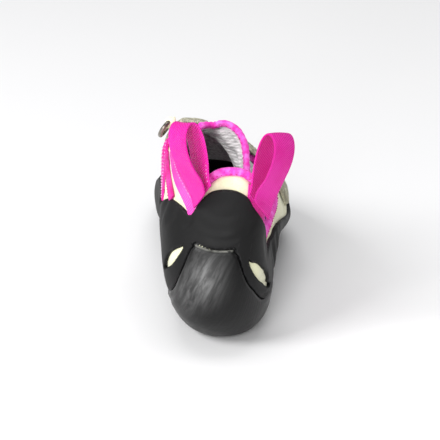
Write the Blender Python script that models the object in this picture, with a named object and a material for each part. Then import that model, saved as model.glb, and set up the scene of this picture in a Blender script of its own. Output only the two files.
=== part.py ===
"""A right climbing shoe with a bent-down front, standing empty on its heel and its front sole.

The upper follows a last: sections that stand across the foot at the toe, turn about the instep as they
pass the heel, and lie flat at the collar. Every other piece lies on the same last, a small gap outside
or inside it. +Y points to the toe, +X to the outer (lateral) side and +Z up. The origin is the bottom
centre of the shoe's box. Lengths are in metres.
"""
import math

import bmesh
import bpy
import numpy as np

# Driving sizes
LENGTH = 0.2270  # heel to toe, of the upper alone
BALL_WIDTH = 0.0850  # across the ball, of the upper alone
HEEL_WIDTH = 0.0525  # across the heel, of the upper alone
HEEL_HEIGHT = 0.0985  # floor to the upper's back edge
INSTEP_HEIGHT = 0.1080  # floor to the top of the throat
ARCH_HEIGHT = 0.0245  # floor to the upper under the arch

# Thicknesses and gaps
WALL = 0.0020  # the upper
GAP = 0.0005  # between a piece and the surface that it lies on
SOLE_THICKNESS = 0.0040
RAND_THICKNESS = 0.0018
CUP_THICKNESS = 0.0029
INSOLE_THICKNESS = 0.0015
TONGUE_THICKNESS = 0.0022
BINDING_HEIGHT = 0.0045
BINDING_THICKNESS = 0.0034
WEBBING_THICKNESS = 0.0012
STRAP_THICKNESS = 0.0022

# Webbing, loops and strap
LOOP_WIDTH = 0.0165
LOOP_HEIGHT = 0.0410
FORK_WIDTH = 0.0070
STRAP_WIDTH = 0.0240
RING_WIRE = 0.0026
RING_WIDTH = 0.0150

# Sections of the last, toe to collar. Each stands on a line from its lowest point to its top point in the
# side view. "split" is the height of its widest line as a share of that line, "medial" and "lateral" are
# its half widths, "low_x" and "top_x" shift its two ends sideways, and the powers square its corners.
# Front rows take lengths from LENGTH, lowest heights from ARCH_HEIGHT and widths from BALL_WIDTH.
FRONT = (
    # low_y low_z  top_y  top_z  split medial lateral low_x  top_x low_power top_power
    (1.000, 0.563, 1.000, 0.127, 0.50, 0.000, 0.000, -0.235, -0.235, 2.2, 2.1),
    (0.971, 0.298, 0.980, 0.190, 0.50, 0.172, 0.226, -0.232, -0.235, 2.5, 2.1),
    (0.930, 0.200, 0.945, 0.250, 0.46, 0.235, 0.348, -0.215, -0.224, 2.9, 2.1),
    (0.872, 0.159, 0.894, 0.319, 0.42, 0.276, 0.470, -0.165, -0.200, 3.4, 2.1),
    (0.797, 0.176, 0.824, 0.397, 0.40, 0.324, 0.570, -0.118, -0.176, 3.6, 2.1),
    (0.705, 0.335, 0.740, 0.494, 0.38, 0.349, 0.575, -0.071, -0.153, 3.6, 2.1),
    (0.608, 0.633, 0.652, 0.600, 0.36, 0.338, 0.552, -0.047, -0.141, 3.4, 2.15),
    (0.511, 0.890, 0.568, 0.719, 0.34, 0.312, 0.515, -0.024, -0.153, 3.1, 2.3),
    (0.427, 1.000, 0.498, 0.825, 0.31, 0.300, 0.472, -0.012, -0.165, 2.8, 2.45),
    (0.352, 0.906, 0.454, 0.899, 0.29, 0.294, 0.437, 0.000, -0.165, 2.6, 2.6),
    (0.264, 0.449, 0.427, 0.945, 0.30, 0.300, 0.405, 0.006, -0.153, 2.5, 2.6),
)
# Back rows take lowest heights from HEEL_HEIGHT and widths from HEEL_WIDTH.
BACK = (
    (0.163, 0.016, 0.411, 0.957, 0.34, 0.495, 0.594, 0.038, -0.229, 2.5, 2.5),
    (0.062, 0.123, 0.398, 0.966, 0.33, 0.507, 0.552, 0.038, -0.190, 2.3, 2.35),
    (0.014, 0.355, 0.387, 0.978, 0.34, 0.503, 0.522, 0.019, -0.152, 2.2, 2.25),
    (0.027, 0.625, 0.377, 0.993, 0.37, 0.499, 0.488, 0.067, -0.095, 2.2, 2.15),
    (0.052, 0.851, 0.367, 1.011, 0.42, 0.486, 0.476, 0.133, -0.038, 2.2, 2.1),
    (0.066, 1.036, 0.357, 1.032, 0.47, 0.476, 0.476, 0.160, 0.000, 2.2, 2.1),
)
LAST_STATION = len(FRONT) + len(BACK) - 1

# The upper's edge: for each direction around a section (0 under the foot, 90 lateral, 180 the instep), the
# station where that line of the upper ends, and the direction that it has turned to there.
COLLAR = (
    # direction station turned_to
    (-180.0, 6.90, -182.0),
    (-172.0, 6.95, -176.0),
    (-162.0, 7.30, -171.0),
    (-151.0, 8.70, -165.0),
    (-140.0, 10.60, -158.0),
    (-129.0, 12.60, -151.0),
    (-116.0, 14.40, -140.0),
    (-99.0, 15.35, -114.0),
    (-78.0, 15.60, -86.0),
    (-56.0, 15.25, -58.0),
    (-41.0, 14.85, -41.0),
    (-30.0, 15.55, -28.0),
    (-15.0, 15.95, -12.0),
    (0.0, 16.00, 2.0),
    (8.0, 15.95, 13.0),
    (16.0, 15.70, 25.0),
    (24.0, 15.10, 43.0),
    (32.0, 14.40, 63.0),
    (41.0, 13.40, 82.0),
    (52.0, 12.00, 94.0),
    (63.0, 10.50, 94.0),
    (74.0, 9.20, 92.0),
    (85.0, 8.20, 91.0),
    (96.0, 7.50, 98.0),
    (110.0, 7.10, 113.0),
    (128.0, 6.95, 131.0),
    (146.0, 6.90, 148.0),
    (164.0, 6.90, 164.0),
    (180.0, 6.90, 178.0),
)
COLLAR_SMOOTHING = 7
UPPER_ROWS = 32
UPPER_DIRECTIONS = (-180, -171, -161, -151, -140, -129, -116, -104, -91, -78, -66, -54, -43, -33, -22, -11,
                    0, 8, 15, 21, 27, 33, 39, 45, 51, 57, 63, 70, 77, 85, 94, 105, 118, 133, 148, 164)
LASTING_OPENING = (0.16, 0.42, 33.0)  # from and to along the upper's rows, and the half angle

# Front sole: station, half angle of its edge
SOLE_EDGE = ((0.1, 70.0), (1.0, 58.0), (2.0, 54.0), (3.0, 52.0), (5.0, 52.0), (7.0, 52.0), (8.92, 50.0))
# Toe rand: station, angle of its top edge on the lateral and on the medial side
TOE_RAND_TOP = (
    # station lateral medial
    (8.91, 88.5, 104.5),
    (7.5, 83.0, 107.0),
    (6.0, 85.0, 116.0),
    (5.0, 92.5, 117.0),
    (4.0, 101.0, 119.0),
    (3.4, 110.0, 124.0),
    (3.0, 122.0, 131.0),
    (2.8, 133.0, 139.0),
    (2.68, 143.0, 148.0),
    (2.58, 158.0, 161.0),
    (2.5, 180.0, 180.0),
)
# Heel cup: station, medial and lateral angle of its edge
CUP_EDGE = (
    # station medial lateral
    (9.0, 56.5, 56.5),
    (9.8, 65.4, 66.3),
    (10.8, 72.2, 72.0),
    (11.55, 70.4, 65.6),
    (12.2, 61.4, 53.4),
    (12.8, 50.0, 42.4),
    (13.1, 45.0, 34.6),
    (13.4, 40.3, 27.6),
    (13.8, 34.6, 19.0),
    (13.98, 29.5, 11.8),
)
# Sling rand, from the lateral arch around the back to the medial arch. Each row runs up the shoe: its lower
# edge, the lower and upper side of the cut-out, and its top edge, each as a station and an angle.
SLING = (
    # low_s low_a cut_s cut_a end_s end_a top_s top_a cut
    (8.95, 57.5, 8.95, 67.0, 8.95, 77.0, 8.95, 88.5, 0),
    (9.75, 66.5, 9.80, 73.0, 9.80, 81.0, 9.80, 90.5, 0),
    (10.60, 73.0, 10.70, 77.5, 10.75, 84.5, 10.80, 92.0, 0),
    (11.10, 72.0, 11.30, 76.5, 11.50, 84.0, 11.72, 91.0, 0),
    (11.42, 69.0, 11.75, 75.0, 11.95, 80.0, 12.42, 88.5, 1),
    (11.80, 62.8, 12.08, 69.0, 12.40, 75.0, 13.17, 82.2, 1),
    (12.16, 55.2, 12.52, 61.5, 12.86, 65.5, 13.64, 74.2, 1),
    (12.50, 49.4, 12.92, 52.0, 13.20, 56.0, 13.96, 65.8, 1),
    (12.85, 43.0, 13.25, 42.3, 13.45, 46.0, 14.26, 55.5, 1),
    (13.20, 33.8, 13.48, 35.2, 13.61, 38.3, 14.60, 43.0, 1),
    (13.52, 26.6, 13.78, 27.5, 13.98, 30.0, 14.95, 30.0, 0),
    (13.86, 19.6, 14.10, 21.0, 14.40, 22.5, 15.26, 21.5, 0),
    (14.05, 12.4, 14.30, 13.0, 14.60, 13.5, 15.44, 12.5, 0),
    (14.05, 4.5, 14.40, 4.5, 14.75, 4.5, 15.54, 4.0, 0),
    (14.05, -4.0, 14.40, -4.0, 14.75, -4.0, 15.57, -5.0, 0),
    (14.05, -13.0, 14.40, -13.0, 14.75, -13.0, 15.52, -14.5, 0),
    (14.05, -22.0, 14.35, -22.0, 14.70, -23.0, 15.38, -23.5, 0),
    (14.05, -30.5, 14.24, -31.5, 14.45, -33.0, 15.06, -32.5, 0),
    (13.84, -35.4, 13.94, -38.5, 14.08, -40.0, 14.62, -41.0, 0),
    (13.44, -40.6, 13.68, -45.0, 13.80, -47.0, 14.58, -49.0, 1),
    (13.05, -46.2, 13.42, -52.0, 13.58, -55.0, 14.56, -59.0, 1),
    (12.62, -53.8, 13.10, -60.0, 13.28, -65.0, 14.42, -74.0, 1),
    (12.15, -62.8, 12.70, -69.5, 12.84, -75.0, 14.10, -89.0, 1),
    (11.70, -70.5, 12.00, -78.0, 12.30, -86.0, 13.45, -100.0, 0),
    (10.90, -73.0, 11.10, -83.0, 11.30, -93.0, 12.40, -108.0, 0),
    (9.80, -66.0, 9.90, -81.0, 9.95, -94.0, 10.60, -107.5, 0),
    (8.95, -57.5, 8.95, -74.0, 8.95, -90.0, 8.95, -104.5, 0),
)
LONG_STEP = 0.7  # rows of the sling rand further apart than this many stations get one between them
# Tongue: angle, station of its lower end and of its rim
TONGUE = (
    # angle lower rim
    (106.0, 9.40, 11.7),
    (114.0, 8.50, 13.1),
    (126.0, 7.60, 14.05),
    (140.0, 6.80, 14.4),
    (154.0, 6.30, 14.5),
    (168.0, 6.10, 14.68),
    (182.0, 6.10, 15.05),
    (196.0, 6.30, 15.5),
    (210.0, 7.80, 15.6),
    (222.0, 10.60, 15.2),
)
# Fork straps: name, then a station and an angle for each point from the ring to the rand
FORKS = {
    "fork_strap_rear": ((11.0, -151.0), (13.2, -140.0), (14.72, -114.0), (15.12, -90.0), (15.1, -68.0), (14.96, -52.0)),
    "fork_strap_middle": ((10.0, -142.5), (10.9, -132.5), (11.9, -121.5), (12.75, -109.8)),
    "fork_strap_front": ((8.5, -145.5), (7.7, -139.5), (6.9, -133.5), (6.15, -127.5)),
}
RING_PLACE = (9.3, -152.0)
# Closure strap, from the ring over the instep to the lateral side: station and angle of its middle line
STRAP = ((8.9, -157.0), (8.5, -170.0), (8.1, 176.0), (7.7, 160.0), (7.3, 142.0), (7.0, 124.0), (6.75, 111.0),
         (6.6, 100.5))
# Pull loop outline: outwards from its seat (share of LOOP_HEIGHT), and height (share of LOOP_HEIGHT)
LOOP = ((0.00, 0.00), (0.02, 0.16), (0.01, 0.34), (0.00, 0.56), (0.02, 0.78), (0.08, 0.93), (0.16, 0.98),
        (0.25, 0.93), (0.30, 0.80), (0.30, 0.64), (0.25, 0.44), (0.17, 0.24), (0.12, 0.10), (0.11, -0.06))
LOOPS = {
    # seat's station and angle, the way its width points at its foot and at its top (degrees from +X), how much
    # its far edge drops, how far the loop leans outwards and along its width, and how far its seat stands
    # off the rand
    "pull_loop_medial": (15.42, -23.5, 134.0, 129.0, 0.62, -0.20, 0.13, GAP * 6),
    "pull_loop_lateral": (15.02, 32.5, 50.0, 45.0, 0.72, -0.12, 0.12, -GAP),
}

MATERIALS = {
    # colour, roughness, metallic
    "upper_leather": ((0.86, 0.85, 0.56, 1.0), 0.75, 0.0),
    "rand_rubber": ((0.018, 0.018, 0.019, 1.0), 0.62, 0.0),
    "cup_rubber": ((0.022, 0.022, 0.023, 1.0), 0.36, 0.0),
    "webbing": ((0.86, 0.012, 0.42, 1.0), 0.55, 0.0),
    "strap_fabric": ((0.62, 0.60, 0.47, 1.0), 0.85, 0.0),
    "binding": ((0.90, 0.10, 0.50, 1.0), 0.70, 0.0),
    "lining": ((0.52, 0.52, 0.53, 1.0), 0.90, 0.0),
    "insole": ((0.05, 0.05, 0.055, 1.0), 0.90, 0.0),
    "ring": ((0.20, 0.18, 0.16, 1.0), 0.35, 1.0),
}


def section_table():
    """One row per station, in metres, with a mirrored row in front that rounds the toe."""
    rows = []
    for table, low_height, width in ((FRONT, ARCH_HEIGHT, BALL_WIDTH), (BACK, HEEL_HEIGHT, HEEL_WIDTH)):
        unit = (LENGTH, low_height, LENGTH, INSTEP_HEIGHT, 1.0, width, width, width, width, 1.0, 1.0)
        rows += [[share * size for share, size in zip(row, unit)] for row in table]
    rows = np.array(rows)
    mirrored = rows[1].copy()
    mirrored[[0, 1, 2, 3]] = rows[1][[2, 3, 0, 1]]
    mirrored[[5, 6]] *= -1
    return np.vstack([mirrored, rows])


def spline_bends(table):
    """Second differences of the smooth curve through rows one apart."""
    count = len(table)
    matrix = np.eye(count)
    right = np.zeros_like(table)
    for i in range(1, count - 1):
        matrix[i, i - 1:i + 2] = (1, 4, 1)
        right[i] = 6 * (table[i + 1] - 2 * table[i] + table[i - 1])
    return np.linalg.solve(matrix, right)


TABLE = section_table()
BENDS = spline_bends(TABLE)


def section_at(station):
    place = np.maximum(np.asarray(station, float), -1) + 1
    i = np.clip(np.floor(place).astype(int), 0, len(TABLE) - 2)
    t = (place - i)[..., None]
    u = 1 - t
    bend = ((u ** 3 - u) * BENDS[i] + (t ** 3 - t) * BENDS[i + 1]) / 6
    return u * TABLE[i] + t * TABLE[i + 1] + bend


def on_last(station, angle):
    """Points of the last: angle 0 is under the foot, 90 lateral, 180 the instep and -90 medial."""
    station, angle = np.broadcast_arrays(np.asarray(station, float), np.asarray(angle, float))
    low_y, low_z, top_y, top_z, split, medial, lateral, low_x, top_x, low_power, top_power = np.moveaxis(
        section_at(station), -1, 0)
    turn = np.radians(angle)
    sine, cosine = np.sin(turn), np.cos(turn)
    power = 2 / np.where(cosine > 0, low_power, top_power)
    side = np.sign(sine) * np.abs(sine) ** power * np.where(sine > 0, lateral, medial)
    rise = split + np.where(cosine > 0, -split, 1 - split) * np.abs(cosine) ** power
    return np.stack([low_x + (top_x - low_x) * rise + side, low_y + (top_y - low_y) * rise,
                     low_z + (top_z - low_z) * rise], -1)


def outward(station, angle):
    step, turn = 0.002, 0.4
    along = on_last(station + step, angle) - on_last(station - step, angle)
    across = on_last(station, angle + turn) - on_last(station, angle - turn)
    normal = np.cross(across, along)
    return normal / (np.linalg.norm(normal, axis=-1, keepdims=True) + 1e-15)


def off_last(station, angle, offset):
    """Points at a distance outside the last. Nothing reaches below the floor, so what would is flat there."""
    station, angle, offset = np.broadcast_arrays(*(np.asarray(v, float) for v in (station, angle, offset)))
    points = on_last(station, angle) + outward(station, angle) * offset[..., None]
    points[..., 2] = np.maximum(points[..., 2], 0.0)
    return points


def read_table(table, at, column, key=0):
    rows = sorted(table, key=lambda row: row[key])
    return np.interp(at, [row[key] for row in rows], [row[column] for row in rows])


def material(name):
    made = bpy.data.materials.get(name)
    if made is None:
        colour, roughness, metallic = MATERIALS[name]
        made = bpy.data.materials.new(name)
        made.use_nodes = True
        shader = made.node_tree.nodes["Principled BSDF"]
        shader.inputs["Base Color"].default_value = colour
        shader.inputs["Roughness"].default_value = roughness
        shader.inputs["Metallic"].default_value = metallic
        made.diffuse_color = colour
    return made


def add_piece(name, finish, vertices, faces):
    """A mesh object from points and faces, its doubled points joined and its faces turned outwards."""
    mesh = bpy.data.meshes.new(name)
    shape = bmesh.new()
    made = [shape.verts.new(vertex) for vertex in vertices]
    for face in faces:
        corners = [made[i] for i in face]
        if len(set(corners)) > 2:
            shape.faces.new(corners)
    bmesh.ops.remove_doubles(shape, verts=shape.verts, dist=1e-6)
    bmesh.ops.dissolve_degenerate(shape, edges=shape.edges, dist=1e-6)
    bmesh.ops.triangulate(shape, faces=shape.faces)
    bmesh.ops.recalc_face_normals(shape, faces=shape.faces)
    if shape.calc_volume(signed=True) < 0:
        bmesh.ops.reverse_faces(shape, faces=shape.faces)
    shape.to_mesh(mesh)
    shape.free()
    mesh.materials.append(material(finish))
    piece = bpy.data.objects.new(name, mesh)
    collection.objects.link(piece)
    return piece


def slab(outer, inner, around=False, missing=None):
    """Points and faces of a sheet between two grids of points. Cells that are missing leave a hole with walls,
    and around joins the last column to the first."""
    rows, columns = outer.shape[:2]
    points = np.concatenate([outer.reshape(-1, 3), inner.reshape(-1, 3)])
    under = rows * columns
    spans = columns if around else columns - 1
    kept = np.ones((rows - 1, spans), bool)
    if missing is not None:
        kept &= ~missing
    faces = []
    for i in range(rows - 1):
        for j in range(spans):
            if not kept[i, j]:
                continue
            a, b = i * columns + j, i * columns + (j + 1) % columns
            c, d = b + columns, a + columns
            faces.append((a, b, c, d))
            faces.append((a + under, d + under, c + under, b + under))
            before = kept[i, (j - 1) % spans] if around or j > 0 else False
            after = kept[i, (j + 1) % spans] if around or j < spans - 1 else False
            if i == 0 or not kept[i - 1, j]:
                faces.append((a, a + under, b + under, b))
            if i == rows - 2 or not kept[i + 1, j]:
                faces.append((d, c, c + under, d + under))
            if not before:
                faces.append((a, d, d + under, a + under))
            if not after:
                faces.append((b, b + under, c + under, c))
    return points, faces


def collar_ends():
    """The collar's table read every two degrees and rounded, so that its edge has no corners."""
    directions = np.arange(-180.0, 180.0, 2.0)
    ends = np.stack([read_table(COLLAR, directions, 1), read_table(COLLAR, directions, 2) - directions], 1)
    for _ in range(COLLAR_SMOOTHING):
        ends = 0.25 * np.roll(ends, 1, 0) + 0.5 * ends + 0.25 * np.roll(ends, -1, 0)
    return np.append(directions, 180.0), np.vstack([ends, ends[:1]])


COLLAR_DIRECTIONS, COLLAR_ENDS = collar_ends()


def upper_place(share, direction):
    """Station and angle at a share of the way from the toe to the upper's edge."""
    direction = np.asarray(direction, float)
    end_station = np.interp(direction, COLLAR_DIRECTIONS, COLLAR_ENDS[:, 0])
    turned = np.interp(direction, COLLAR_DIRECTIONS, COLLAR_ENDS[:, 1])
    return end_station * share, direction + turned * share ** 3


def make_upper():
    shares = np.linspace(0, 1, UPPER_ROWS + 1)
    share, direction = np.meshgrid(shares, np.array(UPPER_DIRECTIONS, float), indexing="ij")
    station, angle = upper_place(share, direction)
    station[0] = 0.02
    outer = off_last(station, angle, 0.0)
    inner = off_last(station, angle, -WALL)
    outer[0] = on_last(0.0, 0.0)
    inner[0] = on_last(0.0, 0.0) - (0, WALL, 0)
    start, end, half = LASTING_OPENING
    middle_share = (shares[:-1] + shares[1:]) / 2
    turned = np.array(UPPER_DIRECTIONS, float)
    middle_turn = turned + (np.roll(turned, -1) - turned) % 360 / 2
    missing = ((middle_share[:, None] > start) & (middle_share[:, None] < end)
               & (np.abs(middle_turn)[None, :] < half))
    points, faces = slab(outer, inner, around=True, missing=missing)
    # the toe's first row is one point outside and one inside, so its wall is left out
    tip = set(range(len(UPPER_DIRECTIONS)))
    count = (UPPER_ROWS + 1) * len(UPPER_DIRECTIONS)
    under_tip = {i + count for i in tip}
    faces = [face for face in faces if not (set(face) <= tip | under_tip)]
    return add_piece("upper", "upper_leather", points, faces)


def make_outsole():
    stations = np.array([0.12, 0.5, 1.0, 1.6, 2.2, 2.8, 3.4, 4.0, 4.6, 5.2, 5.8, 6.4, 7.0, 7.6, 8.25, 8.92])
    shares = np.array([-1.0, -0.9, -0.78, -0.62, -0.4, -0.15, 0.15, 0.4, 0.62, 0.78, 0.9, 1.0])
    edge = read_table(SOLE_EDGE, stations, 1)
    station = np.repeat(stations[:, None], len(shares), 1)
    angle = edge[:, None] * shares[None, :]
    outer = off_last(station, angle, GAP + SOLE_THICKNESS * np.clip((9.9 - station) / 2.4, 0.45, 1.0))
    return add_piece("outsole", "cup_rubber", *slab(outer, off_last(station, angle, GAP)))


def make_heel_cup():
    stations = np.array([9.0, 9.45, 9.9, 10.35, 10.8, 11.2, 11.6, 11.9, 12.2, 12.5, 12.8, 13.1, 13.4, 13.6, 13.8, 13.98])
    shares = np.linspace(-1, 1, 15)
    medial = read_table(CUP_EDGE, stations, 1)
    lateral = read_table(CUP_EDGE, stations, 2)
    angle = np.where(shares < 0, medial[:, None] * shares, lateral[:, None] * shares)
    station = np.repeat(stations[:, None], len(shares), 1)
    lift = CUP_THICKNESS * (0.75 + 0.25 * (1 - np.abs(shares) ** 6))
    outer = off_last(station, angle, GAP + lift[None, :] * np.clip((station - 8.6) / 1.8, 0.5, 1.0))
    return add_piece("heel_cup", "cup_rubber", *slab(outer, off_last(station, angle, GAP * 1.3)))


def make_sling_rand():
    table = np.array(SLING, float)
    wide_steps = [i for i in range(len(table) - 1) if abs(table[i + 1, 6] - table[i, 6]) > LONG_STEP]
    halves = [(table[i] + table[i + 1]) / 2 for i in wide_steps]
    table = np.insert(table, [i + 1 for i in wide_steps], halves, axis=0)
    stops = table[:, :8].reshape(len(table), 4, 2)
    between = [stops[:, 0], stops[:, 1], stops[:, 2]]
    span = stops[:, 3] - stops[:, 2]
    between += [stops[:, 2] + span * share for share in (0.34, 0.67, 1.0)]
    grid = np.stack(between, 1)
    station, angle = grid[..., 0], grid[..., 1]
    missing = np.zeros((len(table) - 1, 5), bool)
    cut = table[:, 8] > 0.4
    missing[:, 1] = cut[:-1] & cut[1:]
    outer = off_last(station, angle, GAP + RAND_THICKNESS)
    return add_piece("sling_rand", "rand_rubber", *slab(outer, off_last(station, angle, GAP), missing=missing))


def make_toe_rand():
    stations = np.array([8.91, 8.2, 7.5, 6.8, 6.1, 5.5, 4.9, 4.3, 3.8, 3.35, 3.0, 2.8, 2.68, 2.58, 2.5, 2.2, 1.9,
                         1.6, 1.3, 1.0, 0.75, 0.5, 0.3, 0.1])
    shares = np.array([0.0, 0.13, 0.27, 0.41, 0.55, 0.68, 0.80, 0.91, 1.0])
    low = read_table(SOLE_EDGE, stations, 1) + 2.6
    closed = stations <= 2.5
    sides = []
    for column, sign in ((1, 1), (2, -1)):
        top = np.where(closed, 180.0, read_table(TOE_RAND_TOP, stations, column))
        sides.append(sign * (low[:, None] + (top - low)[:, None] * shares[None, :]))
    angle = np.concatenate([sides[0], sides[1][:, ::-1]], 1)
    station = np.repeat(stations[:, None], angle.shape[1], 1)
    missing = np.zeros((len(stations) - 1, angle.shape[1] - 1), bool)
    missing[:, len(shares) - 1] = True
    outer = off_last(station, angle, GAP + RAND_THICKNESS)
    inner = off_last(station, angle, GAP * 1.3)
    points, faces = slab(outer, inner, missing=missing)
    # where the two sides meet over the toe their end walls coincide and go
    columns = angle.shape[1]
    count = len(stations) * columns
    met = {i * columns + j for i in np.flatnonzero(closed) for j in (len(shares) - 1, len(shares))}
    met |= {i + count for i in met}
    faces = [face for face in faces if not set(face) <= met]
    return add_piece("toe_rand", "rand_rubber", points, faces)


def make_tongue():
    table = np.array(TONGUE)
    angles = np.linspace(table[0, 0], table[-1, 0], 15)
    lower = read_table(TONGUE, angles, 1)
    rim = read_table(TONGUE, angles, 2)
    shares = np.linspace(0, 1, 10)
    station = lower[None, :] + (rim - lower)[None, :] * shares[:, None]
    angle = np.repeat(angles[None, :], len(shares), 0)
    depth = WALL + GAP * 2.6
    outer = off_last(station, angle, -depth)
    return add_piece("tongue", "lining", *slab(outer, off_last(station, angle, -depth - TONGUE_THICKNESS)))


def make_insole():
    stations = np.array([0.9, 1.5, 2.1, 2.8, 3.5, 4.2, 5.0, 5.8, 6.6, 7.4, 8.2, 9.0, 9.8, 10.6, 11.3, 12.0])
    shares = np.linspace(-1, 1, 9)
    edge = np.interp(stations, (0.9, 3.0, 8.0, 11.0, 12.0), (50, 46, 42, 48, 40))
    station = np.repeat(stations[:, None], len(shares), 1)
    angle = edge[:, None] * shares[None, :]
    depth = WALL + GAP * 1.6
    outer = off_last(station, angle, -depth)
    return add_piece("insole", "insole", *slab(outer, off_last(station, angle, -depth - INSOLE_THICKNESS)))


def make_bead(name, finish, rim, normal, inside, height, sheet, thickness):
    """A rolled edge along a rim: rim is the outer corner of the sheet's edge, inside a point away from it."""
    along = np.gradient(rim, axis=0)
    along /= np.linalg.norm(along, axis=1, keepdims=True)
    up = np.cross(along, normal)
    up *= np.sign(np.sum(up * (rim - inside), 1, keepdims=True))
    up /= np.linalg.norm(up, axis=1, keepdims=True)
    middle = rim - normal * sheet / 2 + up * (GAP + height / 2)
    turns = np.radians(np.arange(0, 360, 60) + 30)
    rings = (middle[:, None] + up[:, None] * (np.cos(turns) * height / 2 / math.cos(math.radians(30)))[None, :, None]
             + normal[:, None] * (np.sin(turns) * thickness / 2)[None, :, None])
    return add_tube(name, finish, rings)


def make_collar_binding(name, start, end):
    directions = np.array([line for line in UPPER_DIRECTIONS if start <= line <= end], float)
    count = len(directions)
    station, angle = upper_place(np.ones(count), directions)
    before = on_last(*upper_place(np.full(count, 0.97), directions))
    return make_bead(name, "binding", on_last(station, angle), outward(station, angle), before,
                     BINDING_HEIGHT, WALL, BINDING_THICKNESS)


def make_tongue_binding():
    angles = np.linspace(TONGUE[0][0], TONGUE[-1][0], 15)[:-1]
    rim = read_table(TONGUE, angles, 2)
    normal = outward(rim, angles)
    depth = WALL + GAP * 2.6
    return make_bead("tongue_binding", "binding", on_last(rim, angles) - normal * depth, normal,
                     on_last(rim - 1, angles) - normal * depth, BINDING_HEIGHT * 0.8, TONGUE_THICKNESS, BINDING_THICKNESS)


def add_tube(name, finish, rings):
    rows, columns = rings.shape[:2]
    faces = [(i * columns + j, i * columns + (j + 1) % columns, (i + 1) * columns + (j + 1) % columns,
              (i + 1) * columns + j) for i in range(rows - 1) for j in range(columns)]
    faces.append(tuple(range(columns)))
    faces.append(tuple((rows - 1) * columns + j for j in range(columns)))
    return add_piece(name, finish, rings.reshape(-1, 3), faces)


def make_ribbon(name, finish, line, width, base, thickness, count, across=3):
    """A flat band on the last, along a line of stations and angles."""
    line = np.array(line, float)
    line[:, 1] = np.where(line[:, 1] > 0, line[:, 1] - 360, line[:, 1])
    at = np.linspace(0, len(line) - 1, count)
    station = np.interp(at, np.arange(len(line)), line[:, 0])
    angle = np.interp(at, np.arange(len(line)), line[:, 1])
    smooth = np.array([0.25, 0.5, 0.25])
    for values in (station, angle):
        for _ in range(2):
            values[1:-1] = np.convolve(values, smooth, "valid")
    middle = on_last(station, angle)
    along = np.gradient(middle, axis=0)
    side = np.cross(outward(station, angle), along)
    side /= np.linalg.norm(side, axis=1, keepdims=True)
    step, turn = 0.01, 0.5
    by_station = (on_last(station + step, angle) - on_last(station - step, angle)) / (2 * step)
    by_angle = (on_last(station, angle + turn) - on_last(station, angle - turn)) / (2 * turn)
    shift = np.stack([np.linalg.lstsq(np.stack([a, b], 1), s, rcond=None)[0]
                      for a, b, s in zip(by_station, by_angle, side)])
    shares = np.linspace(-width / 2, width / 2, across)
    stations = station[:, None] + shift[:, :1] * shares[None, :]
    angles = angle[:, None] + shift[:, 1:] * shares[None, :]
    outer = off_last(stations, angles, base + thickness)
    return add_piece(name, finish, *slab(outer, off_last(stations, angles, base)))


def make_ring():
    """The D-ring, a closed bar standing a little off the instep's medial shoulder."""
    station, angle = RING_PLACE
    centre = off_last(station, angle, STRAP_THICKNESS + RING_WIRE * 1.04 + GAP)
    out = outward(station, angle)
    along = on_last(station + 0.3, angle) - on_last(station - 0.3, angle)
    along /= np.linalg.norm(along)
    across = np.cross(out, along)
    turns = np.radians(np.arange(0, 360, 24))
    path = (centre + along * (np.cos(turns) * RING_WIDTH / 2)[:, None]
            + across * (np.sin(turns) * RING_WIDTH * 0.28)[:, None])
    outwards = (along * (np.cos(turns) * 0.28)[:, None] + across * np.sin(turns)[:, None])
    outwards /= np.linalg.norm(outwards, axis=1, keepdims=True)
    bars = np.radians(np.arange(0, 360, 60))
    rings = (path[:, None] + outwards[:, None] * (np.cos(bars) * RING_WIRE / 2)[None, :, None]
             + out * (np.sin(bars) * RING_WIRE / 2)[None, :, None])
    rows, columns = rings.shape[:2]
    faces = [(i * columns + j, i * columns + (j + 1) % columns,
              (i + 1) % rows * columns + (j + 1) % columns, (i + 1) % rows * columns + j)
             for i in range(rows) for j in range(columns)]
    return add_piece("d_ring", "ring", rings.reshape(-1, 3), faces)


def make_loop(name, station, angle, foot_heading, top_heading, drop, lean, tilt, clear):
    """A webbing loop whose two ends meet at a slanting seat outside the sling rand."""
    seat = off_last(station, angle, clear + RAND_THICKNESS + WEBBING_THICKNESS * 0.5)
    outline = np.array(LOOP)
    count = 27
    at = np.linspace(0, len(outline) - 1, count)
    line = np.stack([np.interp(at, np.arange(len(outline)), outline[:, i]) for i in (0, 1)], 1)
    for _ in range(2):
        line[1:-1] = 0.25 * line[:-2] + 0.5 * line[1:-1] + 0.25 * line[2:]
    slant = np.clip(1 - line[:, 1] / 0.4, 0, 1) * drop
    line *= LOOP_HEIGHT
    line[:, 0] += lean * line[:, 1]
    turn = np.radians(foot_heading + (top_heading - foot_heading) * np.clip(line[:, 1] / LOOP_HEIGHT, 0, 1))
    wide = np.stack([np.cos(turn), np.sin(turn), np.full(count, -0.25)], 1)
    wide /= np.linalg.norm(wide, axis=1, keepdims=True)
    out = outward(station, angle) * (1, 1, 0)
    out = out - wide * np.sum(out * wide, 1, keepdims=True)
    out /= np.linalg.norm(out, axis=1, keepdims=True)
    rise = np.cross(wide, out)
    rise *= np.sign(rise[:, 2:])
    path = seat + out * line[:, :1] + (rise + wide * tilt) * line[:, 1:]
    along = np.gradient(path, axis=0)
    along /= np.linalg.norm(along, axis=1, keepdims=True)
    normal = np.cross(along, wide)
    normal /= np.linalg.norm(normal, axis=1, keepdims=True)
    half = LOOP_WIDTH / 2
    corners = ((-half, -WEBBING_THICKNESS / 2), (half, -WEBBING_THICKNESS / 2),
               (half, WEBBING_THICKNESS / 2), (-half, WEBBING_THICKNESS / 2))
    rings = np.stack([path + wide * a + normal * b - rise * (a * slant)[:, None] for a, b in corners], 1)
    return add_tube(name, "webbing", rings)


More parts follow.
